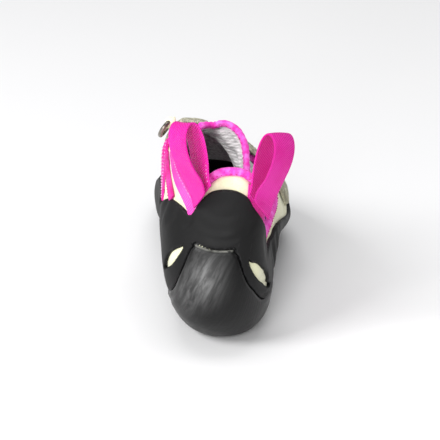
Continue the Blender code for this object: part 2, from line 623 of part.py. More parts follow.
def place_origin(pieces):
    """Moves the shoe so that the origin is the bottom centre of its box."""
    corners = np.array([tuple(v.co) for piece in pieces for v in piece.data.vertices])
    low, high = corners.min(0), corners.max(0)
    shift = np.array([-(low[0] + high[0]) / 2, -(low[1] + high[1]) / 2, -low[2]])
    for piece in pieces:
        for vertex in piece.data.vertices:
            vertex.co = vertex.co + type(vertex.co)(shift)
    return shift


for thing in list(bpy.data.objects):
    bpy.data.objects.remove(thing, do_unlink=True)
collection = bpy.data.collections.new("climbing_shoe")
bpy.context.scene.collection.children.link(collection)

parts = [make_upper(), make_outsole(), make_heel_cup(), make_sling_rand(), make_toe_rand(), make_tongue(),
         make_insole(), make_collar_binding("collar_binding", -33.0, 164.0),
         make_collar_binding("collar_binding_medial", -171.0, -54.0), make_tongue_binding()]
for fork, fork_line in FORKS.items():
    parts.append(make_ribbon(fork, "webbing", fork_line, FORK_WIDTH, GAP, WEBBING_THICKNESS, 12))
parts.append(make_ribbon("closure_strap", "strap_fabric", STRAP, STRAP_WIDTH, GAP * 2 + WEBBING_THICKNESS,
                         STRAP_THICKNESS, 20, across=5))
parts.append(make_ring())
for loop, seats in LOOPS.items():
    parts.append(make_loop(loop, *seats))
shoe_shift = place_origin(parts)
print("shift", np.round(shoe_shift, 6))
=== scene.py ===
"""The look of a right climbing shoe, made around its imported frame.

The shoe's last is repeated here as sections, and every piece is laid on it again with fine rows, rounded
edges, creases and stitches. +Y points to the toe, +X to the outer side and +Z up. Lengths are in metres.
"""
import math

import bmesh
import bpy
import numpy as np
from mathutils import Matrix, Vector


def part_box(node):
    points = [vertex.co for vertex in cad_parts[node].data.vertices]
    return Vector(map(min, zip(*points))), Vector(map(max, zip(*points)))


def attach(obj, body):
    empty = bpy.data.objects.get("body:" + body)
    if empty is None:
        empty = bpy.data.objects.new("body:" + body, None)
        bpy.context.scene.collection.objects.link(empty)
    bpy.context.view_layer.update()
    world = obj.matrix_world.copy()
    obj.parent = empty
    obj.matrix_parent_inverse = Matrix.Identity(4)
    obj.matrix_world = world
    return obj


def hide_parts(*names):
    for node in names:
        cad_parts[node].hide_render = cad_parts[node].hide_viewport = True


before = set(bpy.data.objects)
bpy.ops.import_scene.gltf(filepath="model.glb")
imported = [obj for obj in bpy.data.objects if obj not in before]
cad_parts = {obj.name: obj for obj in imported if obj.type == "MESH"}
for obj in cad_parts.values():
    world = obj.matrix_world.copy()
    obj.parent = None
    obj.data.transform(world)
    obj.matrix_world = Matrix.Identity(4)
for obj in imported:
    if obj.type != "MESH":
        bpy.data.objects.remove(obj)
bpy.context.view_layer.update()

# Driving sizes
LENGTH = 0.2270  # heel to toe, of the upper alone
BALL_WIDTH = 0.0850  # across the ball, of the upper alone
HEEL_WIDTH = 0.0525  # across the heel, of the upper alone
HEEL_HEIGHT = 0.0985  # floor to the upper's back edge
INSTEP_HEIGHT = 0.1080  # floor to the top of the throat
ARCH_HEIGHT = 0.0245  # floor to the upper under the arch

# Thicknesses and gaps
WALL = 0.0020  # the upper
GAP = 0.0005  # between a piece and the surface that it lies on
SOLE_THICKNESS = 0.0040
RAND_THICKNESS = 0.0018
CUP_THICKNESS = 0.0029
INSOLE_THICKNESS = 0.0015
TONGUE_THICKNESS = 0.0022
BINDING_HEIGHT = 0.0045
BINDING_THICKNESS = 0.0034
WEBBING_THICKNESS = 0.0012
STRAP_THICKNESS = 0.0022
RUBBER_BASE = GAP * 0.6  # from the last to the thin edge of a rubber piece
RUBBER_BACK = GAP * 0.2  # from the last to its inner face
TONGUE_DEPTH = WALL + GAP * 2.6
INSOLE_DEPTH = WALL + GAP * 1.6
EDGE_ROUND = 0.0013  # the radius that the rands' edges are ground to
WELD = 2e-6  # points nearer than this are one

# Webbing, loops and strap
LOOP_WIDTH = 0.0165
LOOP_HEIGHT = 0.0410
FORK_WIDTH = 0.0070
STRAP_WIDTH = 0.0240
RING_WIRE = 0.0026
RING_WIDTH = 0.0150
THREAD_RADIUS = 0.00026
FINE_THREAD_RADIUS = 0.00022

# Sections of the last, toe to collar. Each stands on a line from its lowest point to its top point in the
# side view. "split" is the height of its widest line as a share of that line, "medial" and "lateral" are
# its half widths, "low_x" and "top_x" shift its two ends sideways, and the powers square its corners.
# Front rows take lengths from LENGTH, lowest heights from ARCH_HEIGHT and widths from BALL_WIDTH.
FRONT = (
    # low_y low_z  top_y  top_z  split medial lateral low_x  top_x low_power top_power
    (1.000, 0.563, 1.000, 0.127, 0.50, 0.000, 0.000, -0.235, -0.235, 2.2, 2.1),
    (0.971, 0.298, 0.980, 0.190, 0.50, 0.172, 0.226, -0.232, -0.235, 2.5, 2.1),
    (0.930, 0.200, 0.945, 0.250, 0.46, 0.235, 0.348, -0.215, -0.224, 2.9, 2.1),
    (0.872, 0.159, 0.894, 0.319, 0.42, 0.276, 0.470, -0.165, -0.200, 3.4, 2.1),
    (0.797, 0.176, 0.824, 0.397, 0.40, 0.324, 0.570, -0.118, -0.176, 3.6, 2.1),
    (0.705, 0.335, 0.740, 0.494, 0.38, 0.349, 0.575, -0.071, -0.153, 3.6, 2.1),
    (0.608, 0.633, 0.652, 0.600, 0.36, 0.338, 0.552, -0.047, -0.141, 3.4, 2.15),
    (0.511, 0.890, 0.568, 0.719, 0.34, 0.312, 0.515, -0.024, -0.153, 3.1, 2.3),
    (0.427, 1.000, 0.498, 0.825, 0.31, 0.300, 0.472, -0.012, -0.165, 2.8, 2.45),
    (0.352, 0.906, 0.454, 0.899, 0.29, 0.294, 0.437, 0.000, -0.165, 2.6, 2.6),
    (0.264, 0.449, 0.427, 0.945, 0.30, 0.300, 0.405, 0.006, -0.153, 2.5, 2.6),
)
# Back rows take lowest heights from HEEL_HEIGHT and widths from HEEL_WIDTH.
BACK = (
    (0.163, 0.016, 0.411, 0.957, 0.34, 0.495, 0.594, 0.038, -0.229, 2.5, 2.5),
    (0.062, 0.123, 0.398, 0.966, 0.33, 0.507, 0.552, 0.038, -0.190, 2.3, 2.35),
    (0.014, 0.355, 0.387, 0.978, 0.34, 0.503, 0.522, 0.019, -0.152, 2.2, 2.25),
    (0.027, 0.625, 0.377, 0.993, 0.37, 0.499, 0.488, 0.067, -0.095, 2.2, 2.15),
    (0.052, 0.851, 0.367, 1.011, 0.42, 0.486, 0.476, 0.133, -0.038, 2.2, 2.1),
    (0.066, 1.036, 0.357, 1.032, 0.47, 0.476, 0.476, 0.160, 0.000, 2.2, 2.1),
)

# The upper's edge: for each direction around a section (0 under the foot, 90 lateral, 180 the instep), the
# station where that line of the upper ends, and the direction that it has turned to there.
COLLAR = (
    # direction, station, turned to
    (-180, 6.9, -182), (-172, 6.95, -176), (-162, 7.3, -171), (-151, 8.7, -165), (-140, 10.6, -158),
    (-129, 12.6, -151), (-116, 14.4, -140), (-99, 15.35, -114), (-78, 15.6, -86), (-56, 15.25, -58),
    (-41, 14.85, -41), (-30, 15.55, -28), (-15, 15.95, -12), (0, 16, 2), (8, 15.95, 13), (16, 15.7, 25),
    (24, 15.1, 43), (32, 14.4, 63), (41, 13.4, 82), (52, 12, 94), (63, 10.5, 94), (74, 9.2, 92),
    (85, 8.2, 91), (96, 7.5, 98), (110, 7.1, 113), (128, 6.95, 131), (146, 6.9, 148), (164, 6.9, 164),
    (180, 6.9, 178),
)
COLLAR_SMOOTHING = 7
UPPER_ROWS = 32
UPPER_DIRECTIONS = (-180, -171, -161, -151, -140, -129, -116, -104, -91, -78, -66, -54, -43, -33, -22, -11,
                    0, 8, 15, 21, 27, 33, 39, 45, 51, 57, 63, 70, 77, 85, 94, 105, 118, 133, 148, 164)
LASTING_OPENING = (0.16, 0.42, 33)  # from and to along the upper's rows, and the half angle

# Stations where the sole, the heel cup and the insole start and end, and where the toe rand ends
SOLE_ENDS = (0.12, 8.925)
CUP_ENDS = (9.0, 14.008)
INSOLE_ENDS = (0.9, 12.0)
RAND_END = 8.915
# Front sole: station, half angle of its edge
SOLE_EDGE = ((0.1, 70), (1, 58), (2, 54), (3, 52), (5, 52), (7, 52), (8.92, 50))
# Toe rand: station, angle of its top edge on the lateral and on the medial side
TOE_RAND_TOP = (
    # station, lateral, medial
    (8.91, 88.5, 104.5), (7.5, 80.8, 107), (6, 81.4, 116), (5, 91, 117), (4, 101, 119), (3.4, 110, 124),
    (3, 122, 131), (2.8, 133, 139), (2.68, 143, 148), (2.58, 158, 161), (2.5, 180, 180),
)
# Heel cup: station, medial and lateral angle of its edge
CUP_EDGE = (
    # station, medial, lateral
    (9, 56.5, 56.5), (9.8, 65.4, 66.3), (10.8, 72.2, 72), (11.55, 70.4, 65.6), (12.2, 61.4, 53.4),
    (12.8, 50, 42.4), (13.1, 45, 34.6), (13.4, 40.3, 27.6), (13.8, 34.6, 19), (13.98, 29.5, 11.8),
)
# Sling rand, from the lateral arch around the back to the medial arch. Each row runs up the shoe: its lower
# edge, the lower and upper side of the cut-out, and its top edge, each as a station and an angle.
SLING = (
    # low_s low_a cut_s cut_a end_s end_a top_s top_a
    (8.95, 57.5, 8.95, 67, 8.95, 77, 8.95, 89.7),
    (9.75, 66.5, 9.8, 73, 9.8, 81, 9.8, 91.5),
    (10.6, 73, 10.7, 77.5, 10.75, 84.5, 10.8, 92.8),
    (11.1, 72, 11.22, 74.4, 11.32, 78.5, 11.72, 91.6),
    (11.42, 69, 11.55, 71.4, 11.68, 76, 12.42, 88.5),
    (11.8, 62.8, 12, 67.6, 12.4, 75, 13.17, 82.2),
    (12.16, 55.2, 12.52, 61.5, 12.86, 65.5, 13.64, 74.2),
    (12.5, 49.4, 12.92, 52, 13.2, 56, 13.96, 65.8),
    (12.85, 43, 13.25, 42.3, 13.45, 46, 14.26, 55.5),
    (13.2, 33.8, 13.48, 35.2, 13.61, 38.3, 14.6, 43),
    (13.52, 26.6, 13.78, 27.5, 13.98, 30, 14.95, 30),
    (13.86, 19.6, 14.1, 21, 14.4, 22.5, 15.26, 21.5),
    (14.05, 12.4, 14.3, 13, 14.6, 13.5, 15.44, 12.5),
    (14.05, 4.5, 14.4, 4.5, 14.75, 4.5, 15.54, 4),
    (14.05, -4, 14.4, -4, 14.75, -4, 15.57, -5),
    (14.05, -13, 14.4, -13, 14.75, -13, 15.52, -14.5),
    (14.05, -22, 14.35, -22, 14.7, -23, 15.38, -23.5),
    (14.05, -30.5, 14.24, -31.5, 14.45, -33, 15.06, -32.5),
    (13.84, -35.4, 13.94, -38.5, 14.08, -40, 14.62, -41),
    (13.44, -40.6, 13.68, -45, 13.8, -47, 14.58, -49),
    (13.05, -46.2, 13.42, -52, 13.58, -55, 14.56, -59),
    (12.62, -53.8, 13.1, -60, 13.28, -65, 14.42, -74),
    (12.15, -62.8, 12.7, -69.5, 12.84, -75, 14.1, -89),
    (11.7, -70.5, 12, -78, 12.3, -86, 13.45, -100),
    (10.9, -73, 11.1, -83, 11.3, -93, 12.4, -108),
    (9.8, -66, 9.9, -81, 9.95, -94, 10.6, -107.5),
    (8.95, -57.5, 8.95, -74, 8.95, -90, 8.95, -104.5),
)
# Tongue: angle, station of its lower end and of its rim
TONGUE = (
    # angle, lower end, rim
    (106, 9.4, 11.7), (114, 8.5, 13.1), (126, 7.6, 14.05), (140, 6.8, 14.4), (154, 6.3, 14.5),
    (168, 6.1, 14.68), (182, 6.1, 15.05), (196, 6.3, 15.5), (210, 7.8, 15.6), (222, 10.6, 15.2),
)
# Fork straps from the ring to the rand: a station and an angle for each point. The rear one follows its solid
# and then runs on under the sling to the bottom of the notch.
FORKS = {
    "rear": ((11, -151), (13.2, -139), (14.6, -114), (15.02, -90), (15.04, -70), (14.94, -55),
             (14.78, -44), (14.62, -39)),
    "middle": ((10, -142.5), (10.9, -132.5), (11.9, -121.5), (12.75, -109.8)),
    "front": ((8.5, -145.5), (7.7, -139.5), (6.9, -133.5), (6.15, -127.5)),
}
# The dotted tape that is sewn along the medial side, beside the fork's rear strap
SIDE_TAPE = ((11.53, -136.3), (13.16, -125), (13.98, -108.8), (14.24, -97.8), (14.35, -89.4), (14.34, -80))
SIDE_TAPE_WIDTH = 0.0046
RING_PLACE = (9.3, -152)
# Closure strap, from the ring over the instep to the lateral side: station and angle of its middle line
STRAP = ((8.9, -157), (8.5, -170), (8.1, 176), (7.7, 160), (7.3, 142), (7, 124), (6.75, 111),
         (6.6, 100.5))
# Pull loop outline: outwards from its seat (share of LOOP_HEIGHT), and height (share of LOOP_HEIGHT)
LOOP = ((0, 0), (0.02, 0.16), (0.01, 0.34), (0, 0.56), (0.02, 0.78), (0.08, 0.93), (0.16, 0.98),
        (0.25, 0.93), (0.3, 0.8), (0.3, 0.64), (0.25, 0.44), (0.17, 0.24), (0.12, 0.1), (0.11, -0.06))
# Pull loops: seat's station and angle, the way its width points at its foot and at its top (degrees from +X),
# how much its far edge drops, how far the loop leans outwards and along its width, and how far its seat
# stands off the rand
LOOPS = {
    "pull_loop_medial": (15.42, -23.5, 124, 129, 0.62, -0.2, 0.13, GAP * 6),
    "pull_loop_lateral": (15.02, 32.5, 50, 45, 0.72, -0.12, 0.12, -GAP),
}


def section_table():
    """One row per station, in metres, with a mirrored row in front that rounds the toe."""
    rows = []
    for table, low_height, width in ((FRONT, ARCH_HEIGHT, BALL_WIDTH), (BACK, HEEL_HEIGHT, HEEL_WIDTH)):
        unit = (LENGTH, low_height, LENGTH, INSTEP_HEIGHT, 1.0, width, width, width, width, 1.0, 1.0)
        rows += [[share * size for share, size in zip(row, unit)] for row in table]
    rows = np.array(rows)
    mirrored = rows[1].copy()
    mirrored[[0, 1, 2, 3]] = rows[1][[2, 3, 0, 1]]
    mirrored[[5, 6]] *= -1
    return np.vstack([mirrored, rows])


def unit(vectors):
    return vectors / np.linalg.norm(vectors, axis=-1, keepdims=True)


def bell(value, middle, width):
    return np.exp(-((value - middle) / width) ** 2)


def squarish(wave, power):
    """A sine or cosine bent so that what was round gets flatter sides."""
    return np.sign(wave) * np.abs(wave) ** power


def spline_bends(table):
    """Second differences of the smooth curve through rows one apart."""
    count = len(table)
    matrix = np.eye(count)
    right = np.zeros_like(table)
    for i in range(1, count - 1):
        matrix[i, i - 1:i + 2] = (1, 4, 1)
        right[i] = 6 * (table[i + 1] - 2 * table[i] + table[i - 1])
    return np.linalg.solve(matrix, right)


TABLE = section_table()
BENDS = spline_bends(TABLE)


def section_at(station):
    place = np.maximum(np.asarray(station, float), -1) + 1
    i = np.clip(np.floor(place).astype(int), 0, len(TABLE) - 2)
    t = (place - i)[..., None]
    u = 1 - t
    bend = ((u ** 3 - u) * BENDS[i] + (t ** 3 - t) * BENDS[i + 1]) / 6
    return u * TABLE[i] + t * TABLE[i + 1] + bend


def on_last(station, angle):
    """Points of the last: angle 0 is under the foot, 90 lateral, 180 the instep and -90 medial."""
    station, angle = np.broadcast_arrays(np.asarray(station, float), np.asarray(angle, float))
    low_y, low_z, top_y, top_z, split, medial, lateral, low_x, top_x, low_power, top_power = np.moveaxis(
        section_at(station), -1, 0)
    turn = np.radians(angle)
    sine, cosine = np.sin(turn), np.cos(turn)
    power = 2 / np.where(cosine > 0, low_power, top_power)
    side = squarish(sine, power) * np.where(sine > 0, lateral, medial)
    rise = split + np.where(cosine > 0, -split, 1 - split) * np.abs(cosine) ** power
    return np.stack([low_x + (top_x - low_x) * rise + side, low_y + (top_y - low_y) * rise,
                     low_z + (top_z - low_z) * rise], -1)


def outward(station, angle):
    step, turn = 0.002, 0.4
    along = on_last(station + step, angle) - on_last(station - step, angle)
    across = on_last(station, angle + turn) - on_last(station, angle - turn)
    normal = np.cross(across, along)
    return normal / (np.linalg.norm(normal, axis=-1, keepdims=True) + 1e-15)


def off_last(station, angle, offset):
    """Points at a distance outside the last. Nothing reaches below the floor, so what would is flat there."""
    station, angle, offset = np.broadcast_arrays(*(np.asarray(v, float) for v in (station, angle, offset)))
    points = on_last(station, angle) + outward(station, angle) * offset[..., None]
    points[..., 2] = np.maximum(points[..., 2], 0.0)
    return points


def read_table(table, at, column):
    rows = np.array(sorted(table))
    return np.interp(at, rows[:, 0], rows[:, column])


def collar_ends():
    """The collar's table read every two degrees and rounded, so that its edge has no corners."""
    directions = np.arange(-180.0, 180.0, 2.0)
    ends = np.stack([read_table(COLLAR, directions, 1), read_table(COLLAR, directions, 2) - directions], 1)
    for _ in range(COLLAR_SMOOTHING):
        ends = 0.25 * np.roll(ends, 1, 0) + 0.5 * ends + 0.25 * np.roll(ends, -1, 0)
    return np.append(directions, 180.0), np.vstack([ends, ends[:1]])


COLLAR_DIRECTIONS, COLLAR_ENDS = collar_ends()


def upper_place(share, direction):
    """Station and angle at a share of the way from the toe to the upper's edge."""
    direction = np.asarray(direction, float)
    end_station = np.interp(direction, COLLAR_DIRECTIONS, COLLAR_ENDS[:, 0])
    turned = np.interp(direction, COLLAR_DIRECTIONS, COLLAR_ENDS[:, 1])
    return end_station * share, direction + turned * share ** 3


def frame_shift():
    """From the last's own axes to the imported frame, where the origin is the bottom centre of the box."""
    share, direction = np.meshgrid(np.linspace(0, 1, UPPER_ROWS + 1), UPPER_DIRECTIONS, indexing="ij")
    station, angle = upper_place(share, direction)
    points = off_last(station[1:], angle[1:], 0.0).reshape(-1, 3)
    points = np.vstack([points, on_last(0.0, 0.0)[None]])
    low, high = (np.array(corner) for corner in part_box("upper"))
    middle = (low + high) / 2 - (points.min(0) + points.max(0)) / 2
    return np.array([middle[0], middle[1], low[2] - points[:, 2].min()])


SHIFT = frame_shift()


# Smooth tables and grids
def smooth_rows(rows, spans):
    """A smooth curve through the rows of a table, with a number of spans between one row and the next."""
    rows = np.array(rows, float)
    padded = np.vstack([2 * rows[0] - rows[1], rows, 2 * rows[-1] - rows[-2]])
    at = np.linspace(0, len(rows) - 1, (len(rows) - 1) * spans + 1)
    i = np.minimum(at.astype(int), len(rows) - 2)
    t = (at - i)[:, None]
    a, b, c, d = padded[i], padded[i + 1], padded[i + 2], padded[i + 3]
    bends = (2 * a - 5 * b + 4 * c - d) * t ** 2 + (3 * b - a - 3 * c + d) * t ** 3
    return 0.5 * (2 * b + (c - a) * t + bends)


def smooth_table(table, at, column):
    dense = smooth_rows(sorted(table), 12)
    return np.interp(at, dense[:, 0], dense[:, column])


def lengths_along(points, axis):
    """Distance from the grid's first row or column, along its lines."""
    steps = np.linalg.norm(np.diff(points, axis=axis), axis=-1)
    total = np.cumsum(steps, axis=axis)
    first = np.zeros_like(np.take(total, [0], axis=axis))
    return np.concatenate([first, total], axis=axis)


def eased(count):
    """Shares from 0 to 1, closer together at both ends."""
    t = np.linspace(0, 1, count)
    return 0.5 * t + 0.5 * (0.5 - 0.5 * np.cos(math.pi * t))


def eased_between(ends, count):
    return ends[0] + (ends[1] - ends[0]) * eased(count)


def full_turn(count):
    return np.linspace(0, 2 * math.pi, count, endpoint=False)


def rounded(distance, radius):
    """1 inside a sheet, falling as a quarter round to a thin edge."""
    t = np.clip(distance / radius, 0, 1)
    return 0.04 + 0.96 * np.sqrt(1 - (1 - t) ** 2)


def edge_distance(points, sides=(1, 1, 1, 1)):
    """Distance of each point of a grid to its nearest edge: first and last row, first and last column."""
    down = lengths_along(points, 0)
    across = lengths_along(points, 1)
    far = 1.0
    options = (down, down[-1:] - down, across, across[:, -1:] - across)
    return np.min([np.where(side, option, far) for side, option in zip(sides, options)], axis=0)


# Creases: stations and angles that each runs through, its half width and its depth
CREASES = (
    (((14.9, -26), (14.78, -8), (14.86, 12)), 0.0022, 0.00035),
    (((14.55, -28), (14.46, -8), (14.52, 20)), 0.002, 0.00045),
    (((14.3, -20), (14.24, 0), (14.34, 20), (14.62, 34)), 0.0017, 0.0004),
    (((14.66, -38), (14.4, -41), (14.16, -50)), 0.0016, 0.00045),
    (((14.5, -62), (14.1, -70), (13.6, -84)), 0.0026, 0.0006),
    (((14.3, -84), (13.6, -92), (12.7, -96)), 0.0024, 0.0005),
    (((12.5, 52), (12.05, 62), (11.7, 72)), 0.001, 0.0006),
    (((12.25, 57), (12.02, 65)), 0.0008, 0.00055),
    (((12.6, 60), (12.2, 70), (11.5, 80)), 0.0013, 0.00055),
    (((12.85, 60), (12.5, 72), (12.3, 82)), 0.0018, 0.00035),
    (((12.9, -46), (12.2, -56), (11.4, -64)), 0.0016, 0.00045),
    (((13.9, 62), (13.2, 74), (12.2, 86)), 0.0024, 0.00035),
    (((10.6, 60), (10.3, 80), (10.5, 95)), 0.0026, 0.0006),
    (((10, 56), (9.7, 78), (9.6, 96)), 0.0022, 0.0005),
    (((10.4, -60), (10.1, -84), (10.3, -104)), 0.0026, 0.0006),
    (((9.6, -58), (9.4, -82), (9.3, -100)), 0.0022, 0.0005),
    (((6.3, 138), (6.02, 160), (6, 184), (6.25, 214)), 0.0026, 0.00065),
    (((5.45, 142), (5.2, 164), (5.18, 190), (5.4, 216)), 0.0024, 0.00055),
    (((4.6, 150), (4.42, 172), (4.45, 200)), 0.002, 0.0004),
    (((11.6, -118), (10.2, -124), (8.8, -130)), 0.0026, 0.0005),
    (((12.8, -112), (13.6, -100), (14.6, -78)), 0.003, 0.0005),
)


def relief(points, strength):
    """Height of the listed creases at points of the last: a soft trough between two low ridges."""
    flat = points.reshape(-1, 3)
    height = np.zeros(len(flat))
    for stops, width, depth in CREASES:
        line = on_last(*smooth_rows(stops, 6).T)
        gap = np.full(len(flat), 1.0)
        place = np.zeros(len(flat))
        for i, (a, b) in enumerate(zip(line[:-1], line[1:])):
            t = np.clip((flat - a) @ (b - a) / np.dot(b - a, b - a), 0, 1)
            distance = np.linalg.norm(flat - a - t[:, None] * (b - a), axis=1)
            near = distance < gap
            gap = np.where(near, distance, gap)
            place = np.where(near, (i + t) / (len(line) - 1), place)
        fade = np.sin(math.pi * np.clip(place, 0.02, 0.98)) ** 0.7
        height += fade * depth * (0.4 * bell(gap, 1.9 * width, width) - bell(gap, 0, width))
    return height.reshape(points.shape[:-1]) * strength


def swell(points, size, height, seed):
    """Gentle unevenness of a soft sheet: a few crossing waves, each about size long."""
    flat = np.zeros(points.shape[:-1])
    for i in range(5):
        turn = seed + i * 2.399
        direction = unit(np.array([math.cos(turn), math.sin(turn), math.sin(turn * 1.7 + i)]))
        flat += np.sin(points @ direction * 2 * math.pi / (size * (0.8 + 0.17 * i)) + turn * 3)
    return flat * height / 2.5


def laid(station, angle, offset, crease=0.0):
    """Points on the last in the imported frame, offset outwards, with the creases at some strength."""
    if crease:
        offset = offset + relief(on_last(station, angle), crease)
    return off_last(station, angle, offset) + SHIFT


def fan(vectors, shares):
    """A grid of vectors: each one times its own row of shares, or times one row that serves them all."""
    return vectors[:, None] * shares[..., None]


# Meshes
def linked(name, data):
    made = bpy.data.objects.new(name, data)
    bpy.context.scene.collection.objects.link(made)
    return made


def turn_outwards(mesh, weld):
    shape = bmesh.new()
    shape.from_mesh(mesh)
    if weld:
        bmesh.ops.remove_doubles(shape, verts=shape.verts, dist=weld)
        bmesh.ops.dissolve_degenerate(shape, edges=shape.edges, dist=weld / 2)
    bmesh.ops.recalc_face_normals(shape, faces=shape.faces)
    shape.to_mesh(mesh)
    shape.free()


def piece(name, points, faces, finishes, uv=None, slots=None, marks=None, weld=0.0):
    """A mesh that rides on the shoe. Its UV map is in metres, and its marks are values at its points."""
    mesh = bpy.data.meshes.new(name)
    mesh.from_pydata(points.reshape(-1, 3).tolist(), [], faces)
    if slots is not None:
        mesh.polygons.foreach_set("material_index", slots.astype(np.int32))
    for mark, values in (marks or {}).items():
        attribute = mesh.attributes.new(mark, "FLOAT", "POINT")
        attribute.data.foreach_set("value", np.tile(np.asarray(values, np.float32).reshape(-1), 2))
    if uv is not None:
        corners = np.zeros(len(mesh.loops), np.int32)
        mesh.loops.foreach_get("vertex_index", corners)
        layer = mesh.uv_layers.new(name="metres")
        layer.data.foreach_set("uv", uv[corners].astype(np.float32).reshape(-1))
        turn_outwards(mesh, weld)
    mesh.polygons.foreach_set("use_smooth", np.ones(len(mesh.polygons), bool))
    for finish in finishes if isinstance(finishes, tuple) else (finishes,):
        mesh.materials.append(finish)
    made = linked(name, mesh)
    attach(made, "root")
    return made


def metres_map(grid):
    return np.stack([lengths_along(grid, 1), lengths_along(grid, 0)], -1).reshape(-1, 2)


def sheet(name, outer, inner, finishes, around=False, missing=None, slots=None, marks=None):
    """A closed sheet between two grids of points. With slots, its inner face has the second finish."""
    rows, columns = outer.shape[:2]
    spans = columns if around else columns - 1
    kept = np.ones((rows - 1, spans), bool) if missing is None else ~missing
    i, j = np.nonzero(kept)
    under = rows * columns
    a, b = i * columns + j, i * columns + (j + 1) % columns
    c, d = b + columns, a + columns
    quads = [np.stack([a, b, c, d], 1), np.stack([a, d, c, b], 1) + under]
    outer_slots = np.zeros(len(a), int) if slots is None else slots[i, j]
    slot_of = [outer_slots, np.full(len(a), int(slots is not None))]
    beside = np.pad(kept, 1)
    if around:
        beside[1:-1, 0], beside[1:-1, -1] = kept[:, -1], kept[:, 0]
    for down, right, first, second in ((-1, 0, a, b), (1, 0, c, d), (0, -1, d, a), (0, 1, b, c)):
        open_edge = ~beside[i + 1 + down, j + 1 + right]
        p, q = first[open_edge], second[open_edge]
        quads.append(np.stack([q, p, p + under, q + under], 1))
        slot_of.append(outer_slots[open_edge])
    return piece(name, np.concatenate([outer, inner]), np.concatenate(quads).tolist(), finishes,
                 np.tile(metres_map(outer), (2, 1)), np.concatenate(slot_of), marks, WELD)


def tube_faces(rows, columns, closed=False, start=0):
    """Faces around rings of points, with a small cap at both ends unless the last ring meets the first."""
    i, j = np.meshgrid(np.arange(rows if closed else rows - 1), np.arange(columns), indexing="ij")
    i, j = i.reshape(-1), j.reshape(-1)
    quads = np.stack([i * columns + j, i * columns + (j + 1) % columns,
                      (i + 1) % rows * columns + (j + 1) % columns, (i + 1) % rows * columns + j], 1)
    last = start + (rows - 1) * columns
    caps = [] if closed else [list(range(start, start + columns))[::-1], list(range(last, last + columns))]
    return (quads + start).tolist() + caps


def tube(name, rings, finish, closed=False):
    return piece(name, rings, tube_faces(*rings.shape[:2], closed), finish, metres_map(rings))


def stitch_row(line, normal, finish, name, length, pitch, radius, lift, slant=0.0):
    """Short raised threads along a line of points, joined in one mesh."""
    distance = lengths_along(line[:, None], 0)[:, 0]
    rings, columns = 5, 6
    bow = np.sin(np.linspace(0, math.pi, rings))
    turns = full_turn(columns)
    points, faces = [], []
    for k, start in enumerate(np.arange(pitch * 0.5, distance[-1] - length, pitch)):
        at = start + np.linspace(0, length, rings)
        middle = np.stack([np.interp(at, distance, line[:, i]) for i in range(3)], 1)
        up = unit(np.stack([np.interp(at, distance, normal[:, i]) for i in range(3)], 1))
        side = np.cross(unit(middle[-1] - middle[0]), up)
        sideways = np.linspace(-0.5, 0.5, rings) * slant * (-1) ** k
        size = radius * (0.35 + 0.65 * bow)[:, None]
        points.append(fan(middle, np.ones(columns)) + fan(side, sideways[:, None] + np.cos(turns) * size)
                      + fan(up, (lift + radius * (1.3 * bow - 0.8))[:, None] + np.sin(turns) * size))
        faces += tube_faces(rings, columns, start=k * rings * columns)
    return piece(name, np.concatenate(points), faces, finish)


def named(made, slot_name, *nodes):
    if nodes:
        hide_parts(*nodes)
    return made


